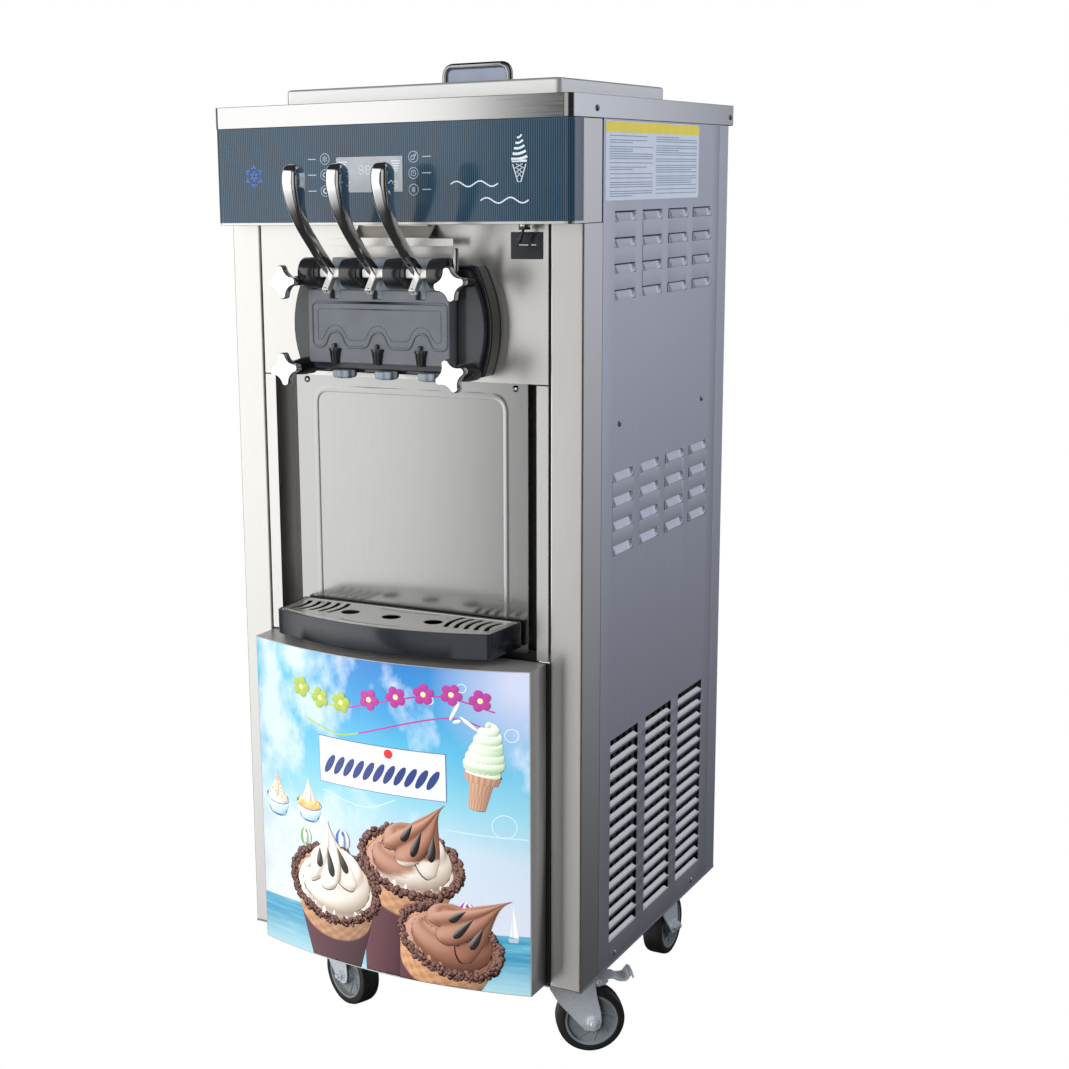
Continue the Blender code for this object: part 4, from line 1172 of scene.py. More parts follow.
LEVER = (
    (-0.0600, 1.1345, 0.0060, 0.0075),
    (-0.0662, 1.1390, 0.0060, 0.0075),
    (-0.0720, 1.1430, 0.0062, 0.0075),
    (-0.0884, 1.1560, 0.0064, 0.0074),
    (-0.1094, 1.1757, 0.0067, 0.0074),
    (-0.1289, 1.1952, 0.0070, 0.0075),
    (-0.1395, 1.2113, 0.0084, 0.0086),
    (-0.1462, 1.2271, 0.0102, 0.0108),
    (-0.1500, 1.2469, 0.0116, 0.0136),
    (-0.1500, 1.2590, 0.0118, 0.0138),
    (-0.1498, 1.2655, 0.0113, 0.0130),
    (-0.1494, 1.2700, 0.0098, 0.0112),
    (-0.1490, 1.2730, 0.0074, 0.0084),
    (-0.1488, 1.2748, 0.0040, 0.0046),
    (-0.1488, 1.2752, 0.0012, 0.0012),
)


def smooth_stations(stations, pieces=5):
    """Catmull-Rom points between stations."""
    stations = [Vector(station) for station in stations]
    result = []
    for i in range(len(stations) - 1):
        a = stations[max(i - 1, 0)]
        b, c = stations[i], stations[i + 1]
        d = stations[min(i + 2, len(stations) - 1)]
        for step in range(pieces):
            t = step / pieces
            square, cube = 2 * a - 5 * b + 4 * c - d, 3 * b - a - 3 * c + d
            result.append((2 * b + (c - a) * t + square * t * t + cube * t ** 3) / 2)
    result.append(stations[-1])
    return result


def tap_levers():
    """Polished tap levers: curved handle, hub on the rod, stop foot with its set screw."""
    half_hub = [(-0.0175, 0.0056), (-0.0170, 0.0062), (-0.0085, 0.0062), (-0.0058, 0.0070)]
    hub = half_hub + [(-across, radius) for across, radius in reversed(half_hub)]
    least = 0.0008
    stations = smooth_stations(LEVER)
    for side, x in TAPS.items():
        body = f"tap_{side}"
        bm = bmesh.new()
        path = [(x, station[0], station[1]) for station in stations]
        add_tube(bm, path, [(max(s[2], least), max(s[3], least)) for s in stations], 36, 4.4)
        add_box(bm, (x - 0.0044, -0.0600, 1.1312), (x + 0.0044, -0.0390, 1.1378))
        made = finish_piece(f"lever_{side}", bm, "chrome", body, [f"tap_lever_{side}"], sharp=40)
        soften(made, 0.0008, 3, 40)
        # Hub and foot take the brighter copy of the chrome: painted highlight
        bm = bmesh.new()
        path = [(x + across, ROD_Y - 0.0010, ROD_Z) for across, _ in hub]
        add_tube(bm, path, [(radius, radius) for _, radius in hub], 28, 4.0)
        finish_piece(f"lever_hub_{side}", bm, "highlight_chrome", body, sharp=40)
        bm = bmesh.new()
        add_tube(bm, [(x, ROD_Y, ROD_Z), (x, -0.0700, 1.1220), (x, -0.0788, 1.1110)], 0.0049, 28, 8.0)
        soften(finish_piece(f"lever_foot_{side}", bm, "highlight_chrome", body, sharp=40), 0.0006)
        out = Vector((0, -0.87, -0.50)).normalized()
        at = Vector((x, -0.0752, 1.1162)) + out * 0.0052
        screws(f"set_screw_{side}", [(at, out)], body, 0.0036)


def star_knobs():
    """Clamping knobs with four broad lobes."""
    back, near = -0.0820, -0.0950
    stations = ((back, 0.86), (back - 0.0008, 0.95), (back - 0.0022, 0.99), (back - 0.0040, 1.0))
    stations += ((near + 0.0026, 1.0), (near + 0.0010, 0.985), (near + 0.0002, 0.955), (near, 0.92))
    for level, turns in (("upper", (5, 10)), ("lower", (8, 22))):
        for side, sign, turn in (("left", -1, turns[0]), ("right", 1, turns[1])):
            outline = star_outline(math.radians(turn))
            x, z = sign * KNOB_X, KNOB_Z[level]
            bm = bmesh.new()
            add_loft(bm, [[(x + a * scale, y, z + b * scale) for a, b in outline] for y, scale in stations])
            name = f"{level}_{side}"
            made = finish_piece(f"star_{name}", bm, "chrome", f"knob_{name}", [f"star_knob_{name}"], sharp=60)
            flatten(made)


def star_outline(turn):
    """Four blunt lobes with hollow sides between them."""
    reach, half, hollow = 0.0226, 0.0044, 0.0068
    quarter = []
    for step in range(7):
        share = 2 * step / 6 - 1
        quarter.append(Vector((reach - 0.0016 * share ** 2, half * share)))
    start = quarter[-1]
    end = Vector((start.y, start.x))
    quarter += [curve(start, Vector((hollow, hollow)), end, step / 12) for step in range(1, 12)]
    points = []
    for angle in circle(4, turn):
        spin = Matrix.Rotation(angle, 2)
        points += [spin @ point for point in quarter]
    return [(point.x, point.y) for point in ease_outline(points, 0.0012, 3)]


def lever_rod():
    """Polished rod with its upturned end."""
    low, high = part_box("pivot_rod")
    radius, tip = 0.004, 0.0012
    pin = high.x - radius
    end = Vector((pin, ROD_Y, high.z - tip))
    path = ease_corners([(low.x, ROD_Y, ROD_Z), (pin, ROD_Y, ROD_Z), end], 0.0075, 8)
    sizes = [(radius, radius)] * len(path) + [(0.0036, 0.0036), (0.0026, 0.0026)]
    path += [end + Vector((0, 0, 0.0008)), end + Vector((0, 0, tip))]
    bm = bmesh.new()
    add_tube(bm, path, sizes, 24)
    finish_piece("lever_rod_bar", bm, "chrome", "lever_rod", ["pivot_rod"], sharp=40)


# Drip tray

def bow(x, half, corner, depth):
    """Y of a front edge that bows out between its corners."""
    return corner - depth * (1 - (x / half) ** 2)


def bowed_outline(half, back_half, back, corner, depth, radius):
    """Plan outline of a bowed tray, with rounded front corners."""
    xs = (half * (2 * step / 24 - 1) for step in range(25))
    points = [(-back_half, back), *((x, bow(x, half, corner, depth)) for x in xs), (back_half, back)]
    return ease_outline(points, radius)


def drip_tray():
    """Tray with a rounded double rim."""
    half, back_half, back, corner, depth = 0.168, 0.175, 0.0160, -0.0670, 0.0320
    low, high = TRAY_LOW.z, TRAY_HIGH.z
    stations = (
        (0.0030, low), (0.0012, low + 0.0004), (0.0, low + 0.002), (0.0, high - 0.0012),
        (0.0004, high - 0.0003), (0.0012, high), (0.0022, high - 0.0003), (0.0026, high - 0.0010),
        (0.0034, high - 0.0040), (0.0034, low + 0.0025),
    )
    rings = []
    for inset, z in stations:
        outline = bowed_outline(half - inset, back_half - inset, back - inset, corner + inset, depth, 0.005)
        rings.append([(x, y, z) for x, y in outline])
    bm = bmesh.new()
    add_loft(bm, rings)
    finish_piece("tray_shell", bm, "tray", "tray", ["drip_tray"], sharp=40)


def capsule(path, half):
    """Outline of a slot with round ends along a path in plan."""
    sides = rails(path, half)
    path = [Vector(point) for point in path]
    ends = []
    for tip, inner in ((path[-1], path[-2]), (path[0], path[1])):
        out = (tip - inner).normalized()
        middle = math.degrees(math.atan2(out.y, out.x))
        ends.append([Vector(point) for point in arc(tip, half, middle + 75, middle - 75, 6)])
    return [left for left, _ in sides] + ends[0] + [right for _, right in reversed(sides)] + ends[1]


def pierced(bm, outline, holes, top, thickness):
    """A level plate with holes."""
    edges = []
    for loop in (outline, *holes):
        verts = [bm.verts.new((point[0], point[1], top)) for point in loop]
        edges += [bm.edges.new((verts[i - 1], verts[i])) for i in range(len(verts))]
    bmesh.ops.triangle_fill(bm, use_beauty=True, use_dissolve=False, edges=edges)
    below = bmesh.ops.extrude_face_region(bm, geom=list(bm.faces))["geom"]
    moved = [item for item in below if isinstance(item, bmesh.types.BMVert)]
    bmesh.ops.translate(bm, vec=(0, 0, -thickness), verts=moved)


def grid_plate():
    """Pierced plate in the tray: curved slots, three round holes and two long narrow slots."""
    top = TRAY_HIGH.z - 0.0006
    outline = bowed_outline(0.1640, 0.1705, 0.0120, -0.0632, 0.0320, 0.004)
    holes = [arc((x, PLUNGER_Y), 0.0135, 0, 350, 35) for x in TAPS.values()]
    for sign in (-1, 1):
        for number in range(5):
            middle = sign * (0.0930 + 0.0150 * number)
            reach = 0.0270 - 0.0012 * number
            path = []
            for t in (2 * step / 12 - 1 for step in range(13)):
                path.append((middle - sign * 0.0050 * (1 - t * t), -0.0235 + reach * t - 0.0006 * number))
            holes.append(capsule(path, 0.0034))
    for x, y, bend in ((0.010, 0.0000, -0.0045), (-0.010, -0.0770, -0.0060)):
        path = [(x + 0.046 * t, y + bend * (1 - t * t)) for t in (2 * step / 16 - 1 for step in range(17))]
        holes.append(capsule(path, 0.0017))
    bm = bmesh.new()
    pierced(bm, outline, holes, top, 0.0012)
    soften(finish_piece("grid_plate", bm, "grid", "grid", ["drip_grid"], sharp=40), 0.0003, 2, 40)
    bm = bmesh.new()
    rim = [(x * 0.972, -0.030 + (y + 0.030) * 0.90, top) for x, y in outline]
    rim.append(rim[0])
    add_tube(bm, rim, [(0.0009, 0.0006)] * len(rim), 8)
    finish_piece("grid_bead", bm, "grid", "grid", sharp=60)


# Door with its picture

DOOR_HALF = DOOR_HIGH.x
DOOR_EDGES = ((DOOR_LOW.z, -0.0465, 0.033), (DOOR_HIGH.z, -0.0490, 0.043))


def door_y(x, z):
    """Y of the door's front at a point."""
    (low, low_corner, low_bow), (high, high_corner, high_bow) = DOOR_EDGES
    t = (z - low) / (high - low)
    corner = low_corner + (high_corner - low_corner) * t
    depth = low_bow + (high_bow - low_bow) * t
    return bow(x, DOOR_HALF, corner, depth)


def door():
    """Door shell with its bowed front, and the picture film on it."""
    back = -0.0012
    shares = [2 * step / 40 - 1 for step in range(41)]
    low, high = DOOR_LOW.z, DOOR_HIGH.z
    bm = bmesh.new()
    rings = []
    for z in (low, high):
        face = [(DOOR_HALF * share, door_y(DOOR_HALF * share, z), z) for share in shares]
        rings.append([(-DOOR_HALF, back, z), *face, (DOOR_HALF, back, z)])
    add_loft(bm, rings, closed=False)
    thicken(finish_piece("door_shell", bm, "door", "door", ["poster_door"], sharp=30), 0.0012)
    bm = bmesh.new()
    edge = 0.0012
    zs = [low + edge + (high - low - 2 * edge) * step / 12 for step in range(13)]
    xs = [(DOOR_HALF - edge) * share for share in shares]
    sheet(bm, xs, zs, lambda x, z: Vector((x, door_y(x, z) - 0.0003, z)))
    thicken(finish_piece("door_picture", bm, "sky", "door", sharp=60), 0.0002)


class Print:
    """A picture on the door: solid shapes pressed almost flat on it, each point with its own ink."""

    def __init__(self, name, layer=0):
        self.name = name
        self.bm = bmesh.new()
        self.ink = self.bm.verts.layers.float_color.new("ink")
        self.base = 0.00045 + 0.00045 * layer

    def take(self, shape, colour, at, lean=0.0, tip=0.0, light=(-0.55, -0.50, 0.65), lift=0.0):
        """Add a shape drawn round its own origin, coloured by colour(point, shade), at (x, z) on the door.

        lift brings it forward, so that it covers what is drawn with less.
        """
        bmesh.ops.recalc_face_normals(shape, faces=shape.faces)
        shape.normal_update()
        light = Vector(light).normalized()
        turn = Matrix.Rotation(math.radians(lean), 3, "Y") @ Matrix.Rotation(math.radians(tip), 3, "X")
        folds = shape.verts.layers.float.get("fold")
        made = {}
        for vert in shape.verts:
            normal = turn @ vert.normal
            spot = turn @ vert.co
            shade = 0.5 + 0.5 * normal.dot(light)
            if folds:
                shade *= vert[folds]
            x, z = at[0] + spot.x, at[1] + spot.z
            x = max(-DOOR_HALF + 0.002, min(DOOR_HALF - 0.002, x))
            z = max(DOOR_LOW.z + 0.002, min(DOOR_HIGH.z - 0.002, z))
            depth = max(-0.14, min(0.14, spot.y - lift))
            new = self.bm.verts.new((x, door_y(x, z) - self.base + depth * 0.0025, z))
            new[self.ink] = (*colour(vert.co, shade), 1.0)
            made[vert] = new
        for face in shape.faces:
            self.bm.faces.new([made[vert] for vert in face.verts])
        shape.free()

    def done(self):
        """Turn the picture into a piece."""
        bmesh.ops.dissolve_degenerate(self.bm, dist=1e-7, edges=self.bm.edges)
        bmesh.ops.translate(self.bm, vec=(0, FACE, 0), verts=self.bm.verts)
        mesh = bpy.data.meshes.new(self.name)
        self.bm.to_mesh(mesh)
        self.bm.free()
        mesh.shade_smooth()
        made = bpy.data.objects.new(self.name, mesh)
        bpy.context.scene.collection.objects.link(made)
        slot, material = LOOKS["ink"]
        mesh.materials.append(material)
        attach(made, "door")
        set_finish(made, slot)


def blend(one, other, share):
    """A colour between two."""
    return tuple(a * (1 - share) + b * share for a, b in zip(one, other))


def flat(colour):
    """A colour function with one colour everywhere."""
    return lambda point, shade: colour


def tint(*colours):
    """A colour function that runs through colours from shade to light."""
    def colour(_, shade):
        place = max(0.0, min(0.999, shade)) * (len(colours) - 1)
        i = int(place)
        return blend(colours[i], colours[i + 1], place - i)
    return colour


def folded_loft(rings, depths):
    """A skin with caps whose points remember how deep in a fold they lie."""
    shape = bmesh.new()
    folds = shape.verts.layers.float.new("fold")
    made = add_loft(shape, rings)
    for vert, depth in zip((vert for ring_verts in made for vert in ring_verts), depths):
        vert[folds] = depth
    return shape


def turned(profile, steps):
    """A profile of (radius, height) pairs turned round the upright axis."""
    shape = bmesh.new()
    add_lathe(shape, profile, (0, 0, 0), steps=steps)
    return shape


def swirl(radius, height, turns, flutes, start=0.0, thick=0.46, taper=0.75):
    """A coil of soft serve: a fluted rope wound upwards into a point."""
    steps = int(turns * 26)
    rings = []
    depths = []
    for t in (step / steps for step in range(steps + 1)):
        angle = start + 2 * math.pi * turns * t
        swell = min(1.0, 0.25 + 2.4 * t * turns) ** 0.7
        rope = radius * (thick * (1 - t) ** (0.83 * taper) + 0.012) * swell
        middle = polar(angle, radius * (1.02 - thick) * (1 - t) ** taper)
        centre = Vector((*middle, height * (t ** 1.12)))
        out = Vector((*polar(angle), 0))
        rings.append([])
        for phase in circle(48):
            fold = abs(math.sin(flutes * phase / 2 + 5.0 * t)) ** 0.7
            reach = rope * (0.96 + 0.20 * fold)
            depths.append((0.74 + 0.26 * fold) * (0.86 + 0.16 * math.sin(phase)))
            lift = reach * math.sin(phase) * (0.92 + 0.9 * t)
            rings[-1].append(centre + out * reach * math.cos(phase) + Vector((0, 0, lift)))
    return folded_loft(rings, depths)


def peak(radius, height, flutes=5, twist=1.5, bend=0.0):
    """The top of a swirl: deep twisted folds that run up into a point, which may bend over."""
    rings = []
    depths = []
    for t in (step / 44 for step in range(45)):
        body = radius * ((1 - t) ** (0.80 + 0.8 * t) * min(1.0, 0.84 + 2.4 * t) + 0.012)
        rings.append([])
        for around in circle(90):
            fold = abs(math.sin(flutes / 2 * (around - twist * t))) ** 0.8
            x, y = polar(around, body * (0.66 + 0.38 * fold))
            droop = radius * 0.26 * fold * (1 - t) ** 5
            depths.append(0.62 + 0.38 * fold)
            rings[-1].append(Vector((x + bend * t ** 6, y, height * t - droop)))
    return folded_loft(rings, depths)


def droplet(wide, tall):
    """A long drop of sauce, round below and pointed above."""
    return turned([(wide * math.sin(math.pi * (k / 20) ** 0.55), tall * k / 20) for k in range(21)], 16)


def wafer(rim, foot, height):
    """A cone's wall, hanging down from its rim."""
    return turned([(foot + (rim - foot) * k / 40, height * (k / 40 - 1)) for k in range(41)], 96)


def wafer_colour(height, sleeve, base=(0.80, 0.43, 0.23)):
    """Waffle colour above a paper sleeve that starts a share of the way down."""
    def colour(point, shade):
        down = -point.z / height
        if down > sleeve:
            return tuple(part * (0.30 + 1.25 * shade) for part in (0.105, 0.036, 0.048))
        around = math.atan2(point.x, -point.y)
        lattice = abs(math.sin(around * 9 + down * 34)) ** 10 + abs(math.sin(around * 9 - down * 34)) ** 10
        glow = (0.35 + 0.80 * shade) * (1 - 0.34 * min(lattice, 1.0))
        return tuple(min(part * glow, 1.0) for part in base)
    return colour


def crumb_rim(rim, count, size, seed):
    """Chopped nuts and chocolate stuck round a cone's rim."""
    random.seed(seed)
    shape = bmesh.new()
    for _ in range(count):
        spot = Vector((*polar(random.uniform(0, 2 * math.pi), rim), random.uniform(-1.1, 1.0) * size))
        spot *= random.uniform(0.94, 1.06)
        grain = size * random.uniform(0.45, 0.95)
        turn = Matrix.Rotation(random.uniform(0, 6), 4, (random.random(), random.random(), 0.3))
        place = Matrix.Translation(spot) @ turn
        bmesh.ops.create_icosphere(shape, subdivisions=1, radius=grain, matrix=place)
    return shape


def blob(wide, tall, turn=0.0, at=(0, 0, 0)):
    """A ball or an egg shape."""
    shape = bmesh.new()
    size = Matrix.Diagonal((wide, wide, tall, 1.0))
    where = Matrix.Translation(at) @ Matrix.Rotation(math.radians(turn), 4, "Y")
    bmesh.ops.create_uvsphere(shape, u_segments=20, v_segments=14, radius=1.0, matrix=where @ size)
    return shape


CREAM = ((0.22, 0.16, 0.12), (0.48, 0.39, 0.32), (0.80, 0.74, 0.67), (0.95, 0.93, 0.90))
COCOA = ((0.050, 0.016, 0.010), (0.16, 0.060, 0.035), (0.33, 0.145, 0.090), (0.60, 0.34, 0.25))
MINT = ((0.25, 0.36, 0.22), (0.48, 0.62, 0.42), (0.76, 0.87, 0.71), (0.94, 0.97, 0.92))
NUTS = ((0.012, 0.005, 0.004), (0.05, 0.020, 0.018), (0.13, 0.055, 0.048), (0.32, 0.17, 0.14))
SAUCE = ((0.003, 0.002, 0.002), (0.006, 0.004, 0.004), (0.016, 0.011, 0.010), (0.30, 0.27, 0.25))
FRUIT = ((0.45, 0.10, 0.05), (0.72, 0.24, 0.06), (0.88, 0.45, 0.12), (0.95, 0.70, 0.35))
GLASS = ((0.10, 0.28, 0.55), (0.42, 0.64, 0.82), (0.70, 0.83, 0.92), (0.90, 0.96, 0.98))


def two_tone(left, right, edge):
    """A colour function with one run of colours above and left of a slanting edge and another below it."""
    left, right = tint(*left), tint(*right)

    def colour(point, shade):
        share = max(0.0, min(1.0, (point.x - 1.6 * point.z - edge) / 0.004))
        return blend(left(point, shade), right(point, shade), share)
    return colour


def sundae_cone(name, layer, at, rim, turns, rise, coil_colour, peak_colour, seed):
    """A large cone with a nut rim, a coil and a folded peak with three drops of sauce.

    turns holds how far the rim, the peak and the wafer lean over, in degrees.
    """
    rim_turn, peak_turn, body_turn = turns
    art = Print(name, layer)
    view = 46 if rim_turn == 0 else 38
    length = rim * 3.4
    art.take(wafer(rim, rim * 0.34, length), wafer_colour(length, 0.20), at, body_turn, view)
    art.take(blob(rim * 0.90, rim * 0.24, at=(0, 0, -0.10 * rim)), coil_colour, at, rim_turn, view)
    art.take(swirl(rim * 0.96, rim * 0.42, 1.9, 5, math.pi * 0.9), coil_colour, at, rim_turn, view * 0.8)
    art.take(crumb_rim(rim, 620, rim * 0.072, seed), tint(*NUTS), at, rim_turn, view, lift=0.012)
    along = Vector((math.sin(math.radians(peak_turn)), math.cos(math.radians(peak_turn))))
    aside = Vector((along.y, -along.x))
    at = Vector(at)
    peak_tip = 14
    tall = rim * (rise - 0.14) / math.cos(math.radians(peak_tip))
    top = peak(rim * 0.62, tall, bend=rim * 0.10 * (peak_turn > 0))
    art.take(top, peak_colour, at + along * rim * 0.14, peak_turn, peak_tip, lift=0.045)
    for across, up, tall, turn in ((-0.30, 0.30, 0.42, 6), (0.0, 0.14, 0.60, -6), (0.36, 0.26, 0.54, -20)):
        spot = at + (aside * across + along * up) * rim
        drop = droplet(rim * 0.078, rim * tall)
        art.take(drop, tint(*SAUCE), spot, peak_turn + turn, 0, (-0.5, -0.3, 0.8), lift=0.125)
    art.done()


def flower(art, x, z, radius, colour):
    """Five round petals and a pale heart."""
    petal_tint = tint(blend((0, 0, 0), colour, 0.7), colour)
    for angle in circle(5, x * 20):
        across, up = polar(angle, radius * 0.62)
        art.take(blob(radius * 0.42, radius * 0.42), petal_tint, (x + across, z + up))
    heart = blob(radius * 0.26, radius * 0.26, at=(0, -0.02, 0))
    art.take(heart, tint((0.70, 0.60, 0.20), (0.90, 0.85, 0.50)), (x, z))


GREEN = (0.42, 0.56, 0.08)
MAGENTA = (0.48, 0.05, 0.33)


def garland():
    """Eight flowers on a double ribbon, bubbles and a white bird."""
    art = Print("picture_garland")
    for points in (
        ((-0.1324, 0.5615), (-0.0742, 0.5437), (-0.0404, 0.5438), (0.0899, 0.5758), (0.1742, 0.5588)),
        ((-0.1185, 0.5166), (-0.0631, 0.5024), (-0.0249, 0.5088), (0.1047, 0.5460), (0.1679, 0.5327)),
    ):
        ribbon(art, points[:3], 0.0011, GREEN)
        ribbon(art, points[2:], 0.0011, MAGENTA)
    bubbles = ((0.1845, 0.3985, 0.0165), (0.130, 0.590, 0.006), (0.195, 0.528, 0.009), (0.085, 0.570, 0.006))
    for *middle, radius in bubbles:
        ribbon(art, arc(middle, radius, 0, 360, 36), 0.0006, (0.62, 0.80, 0.88), curved=False)
    for points in (
        ((0.105, 0.387), (0.150, 0.384), (0.216, 0.382)),
        ((-0.090, 0.415), (-0.020, 0.402), (0.030, 0.420)),
    ):
        ribbon(art, points, 0.0009, (0.55, 0.76, 0.83))
    feathers = ((0.1200, 0.5570, 0.0150, 28), (0.1390, 0.5410, 0.0150, -52), (0.1230, 0.5430, 0.0060, 70))
    for *at, tall, turn in feathers:
        art.take(blob(0.0026, tall, turn), tint((0.45, 0.50, 0.58), (0.90, 0.92, 0.95)), at)
    art.done()
    art = Print("picture_flowers", 1)
    for x, z in ((-0.125, 0.560), (-0.090, 0.550), (-0.053, 0.549)):
        flower(art, x, z, 0.0150, GREEN)
    for x, z in ((-0.006, 0.560), (0.036, 0.569), (0.077, 0.577), (0.116, 0.580), (0.155, 0.574)):
        flower(art, x, z, 0.0150, MAGENTA)
    art.done()


def plate():
    """A pale plate with a dark edge, a row of leaves and a red ball."""
    for layer, inset, colour in ((0, 0.0, (0.10, 0.15, 0.36)), (1, 0.0011, (0.76, 0.78, 0.85))):
        art = Print(f"picture_plate_{layer}", layer)
        patch(art, (-0.0950 + inset, 0.4268 + inset), (0.1070 - inset, 0.4958 - inset), colour)
        art.done()
    art = Print("picture_plate_marks", 2)
    art.take(blob(0.0066, 0.0066), flat((0.70, 0.03, 0.04)), (0.022, 0.4860))
    for leaf in range(11):
        art.take(blob(0.0052, 0.0165, 32), flat((0.035, 0.060, 0.22)), (-0.0760 + 0.0164 * leaf, 0.4560))
    art.done()


def door_art():
    """The door's pictures: four cones, two cups, balloons, a boat, flowers and a plate."""
    garland()
    plate()
    small_cone(0.157, 0.4735)
    cup("picture_cup_1", (-0.183, 0.3815), CREAM, (0.85, 1.62, 4, 1.0), 46, (0.0, 1.4), 0.78, 1 / 1.7, 0.0011)
    cup("picture_cup_2", (-0.119, 0.3870), FRUIT, (0.62, 1.80, 5, 1.2), 9, (-0.15, 0.05), 0.80, 0, 0.0034)
    balloon(-0.1277, 0.3355, 0.0116, (0.16, 0.34, 0.12))
    balloon(-0.0600, 0.3440, 0.0140, (0.05, 0.12, 0.42))
    balloon(0.1310, 0.2690, 0.0125, (0.28, 0.04, 0.32))
    boat(0.1950, 0.2350)
    twist, twist_peak = two_tone(COCOA, CREAM, -0.034), two_tone(COCOA, CREAM, -0.004)
    cream, cocoa = tint(*CREAM), tint(*COCOA)
    sundae_cone("picture_cone_twist", 1, (0.0485, 0.331), 0.0755, (8, 27, 14), 1.40, twist, twist_peak, 22)
    sundae_cone("picture_cone_white", 2, (-0.078, 0.2740), 0.075, (0, -4, 0), 1.27, cream, cream, 21)
    sundae_cone("picture_cone_cocoa", 3, (0.105, 0.2225), 0.0737, (19, 48, 16), 1.52, cocoa, cocoa, 23)


def ribbon(art, points, half, colour, curved=True):
    """A flat painted line on the door."""
    shape = bmesh.new()
    pairs = rails(smooth_stations(points, 10) if curved else points, half)
    sides = [[shape.verts.new((p.x, 0, p.y)) for p in pair] for pair in pairs]
    for one, other in zip(sides, sides[1:]):
        shape.faces.new((one[0], one[1], other[1], other[0]))
    art.take(shape, flat(colour), (0, 0))


def patch(art, low, high, colour):
    """A flat rectangle on the door."""
    (x0, z0), (x1, z1) = low, high
    shape = bmesh.new()
    xs = [x0 + (x1 - x0) * k / 16 for k in range(17)]
    sheet(shape, xs, [z0, (z0 + z1) / 2, z1], lambda x, z: Vector((x, 0, z)))
    art.take(shape, flat(colour), (0, 0))


def small_cone(x, z):
    """A small mint cone with a flat-bottomed wafer."""
    art = Print("picture_cone_mint")
    waffle = wafer_colour(1.0, 2.0, (0.72, 0.42, 0.28))
    mint = tint(*MINT)
    art.take(wafer(0.0256, 0.0225, 0.012), waffle, (x, z - 0.002), 10, 10)
    art.take(wafer(0.0170, 0.0120, 0.044), waffle, (x - 0.0015, z - 0.010), 10, 14)
    art.take(blob(0.0245, 0.010), mint, (x, z), 10, 14)
    art.take(swirl(0.0280, 0.066, 5.6, 3, 0.0, 0.30, 0.42), mint, (x, z + 0.004), 10, 12)
    art.done()


def cup(name, at, filling, top, beads, heights, spread, slope, size):
    """A glass cup with a filling, a peak and beads of topping.

    top is the peak's radius and height in rims, its folds and its twist. heights is the beads' range in rims;
    spread is how far they reach to the sides, which shrinks by slope with their height.
    """
    rim = 0.0235
    x, z = at
    art = Print(name)
    profile = [(0.0, -1.0), (0.55, -1.0), (0.80, -0.80), (0.95, -0.45), (1.0, 0.0)]
    art.take(turned([(radius * rim, level * rim) for radius, level in profile], 48), tint(*GLASS), at, 0, 24)
    for level, radius in ((0.0, 1.0), (-0.98, 0.70)):
        hoop = bmesh.new()
        add_tube(hoop, [(*polar(k * math.pi / 24, radius * rim), 0) for k in range(49)], 0.0006, 6)
        art.take(hoop, tint((0.03, 0.10, 0.34), (0.10, 0.24, 0.55)), (x, z + level * rim * 0.9), 0, 24)
    art.take(blob(rim * 0.90, rim * 0.42), tint(*filling), at, 0, 24)
    wide, tall, flutes, twist = top
    art.take(peak(rim * wide, rim * tall, flutes, twist), tint(*CREAM), (x, z + 0.001), 0, 14)
    random.seed(5)
    for _ in range(beads):
        up = random.uniform(*heights)
        half = rim * spread * (1 - up * slope)
        across, turn = random.uniform(-half, half), random.uniform(0, 90)
        bead = blob(size, size * 1.4, turn, (across, -0.03, 0))
        art.take(bead, tint(*FRUIT[random.choice((0, 1)):]), (x, z + up * rim))
    art.done()


def balloon(x, z, radius, colour):
    """A striped balloon with its basket."""
    art = Print(f"picture_balloon_{int(1000 * (x + 1))}")

    def stripes(point, shade):
        band = math.sin(math.atan2(point.x, -point.y) * 6) > 0
        base = colour if band else (0.80, 0.82, 0.76)
        return tuple(min(part * (0.45 + 0.8 * shade), 1.0) for part in base)

    art.take(blob(radius, radius * 1.25), stripes, (x, z), 0, 8)
    basket = blob(radius * 0.22, radius * 0.22)
    art.take(basket, tint((0.10, 0.06, 0.03), (0.25, 0.16, 0.08)), (x, z - radius * 1.7))
    art.done()


def boat(x, z):
    """Two tall white sails over a hull."""
    art = Print("picture_boat")
    for points, colour in (
        (((0.0, 0.004), (0.0, 0.050), (0.0070, 0.004)), (0.88, 0.90, 0.94)),
        (((-0.001, 0.005), (-0.001, 0.042), (-0.0052, 0.005)), (0.76, 0.80, 0.88)),
        (((-0.0070, 0.003), (0.0080, 0.003), (0.0056, -0.003), (-0.0054, -0.003)), (0.45, 0.55, 0.62)),
    ):
        shape = bmesh.new()
        shape.faces.new([shape.verts.new((px, 0, pz)) for px, pz in points])
        art.take(shape, flat(colour), (x, z))
    art.done()


# Lid, casters and what hangs below

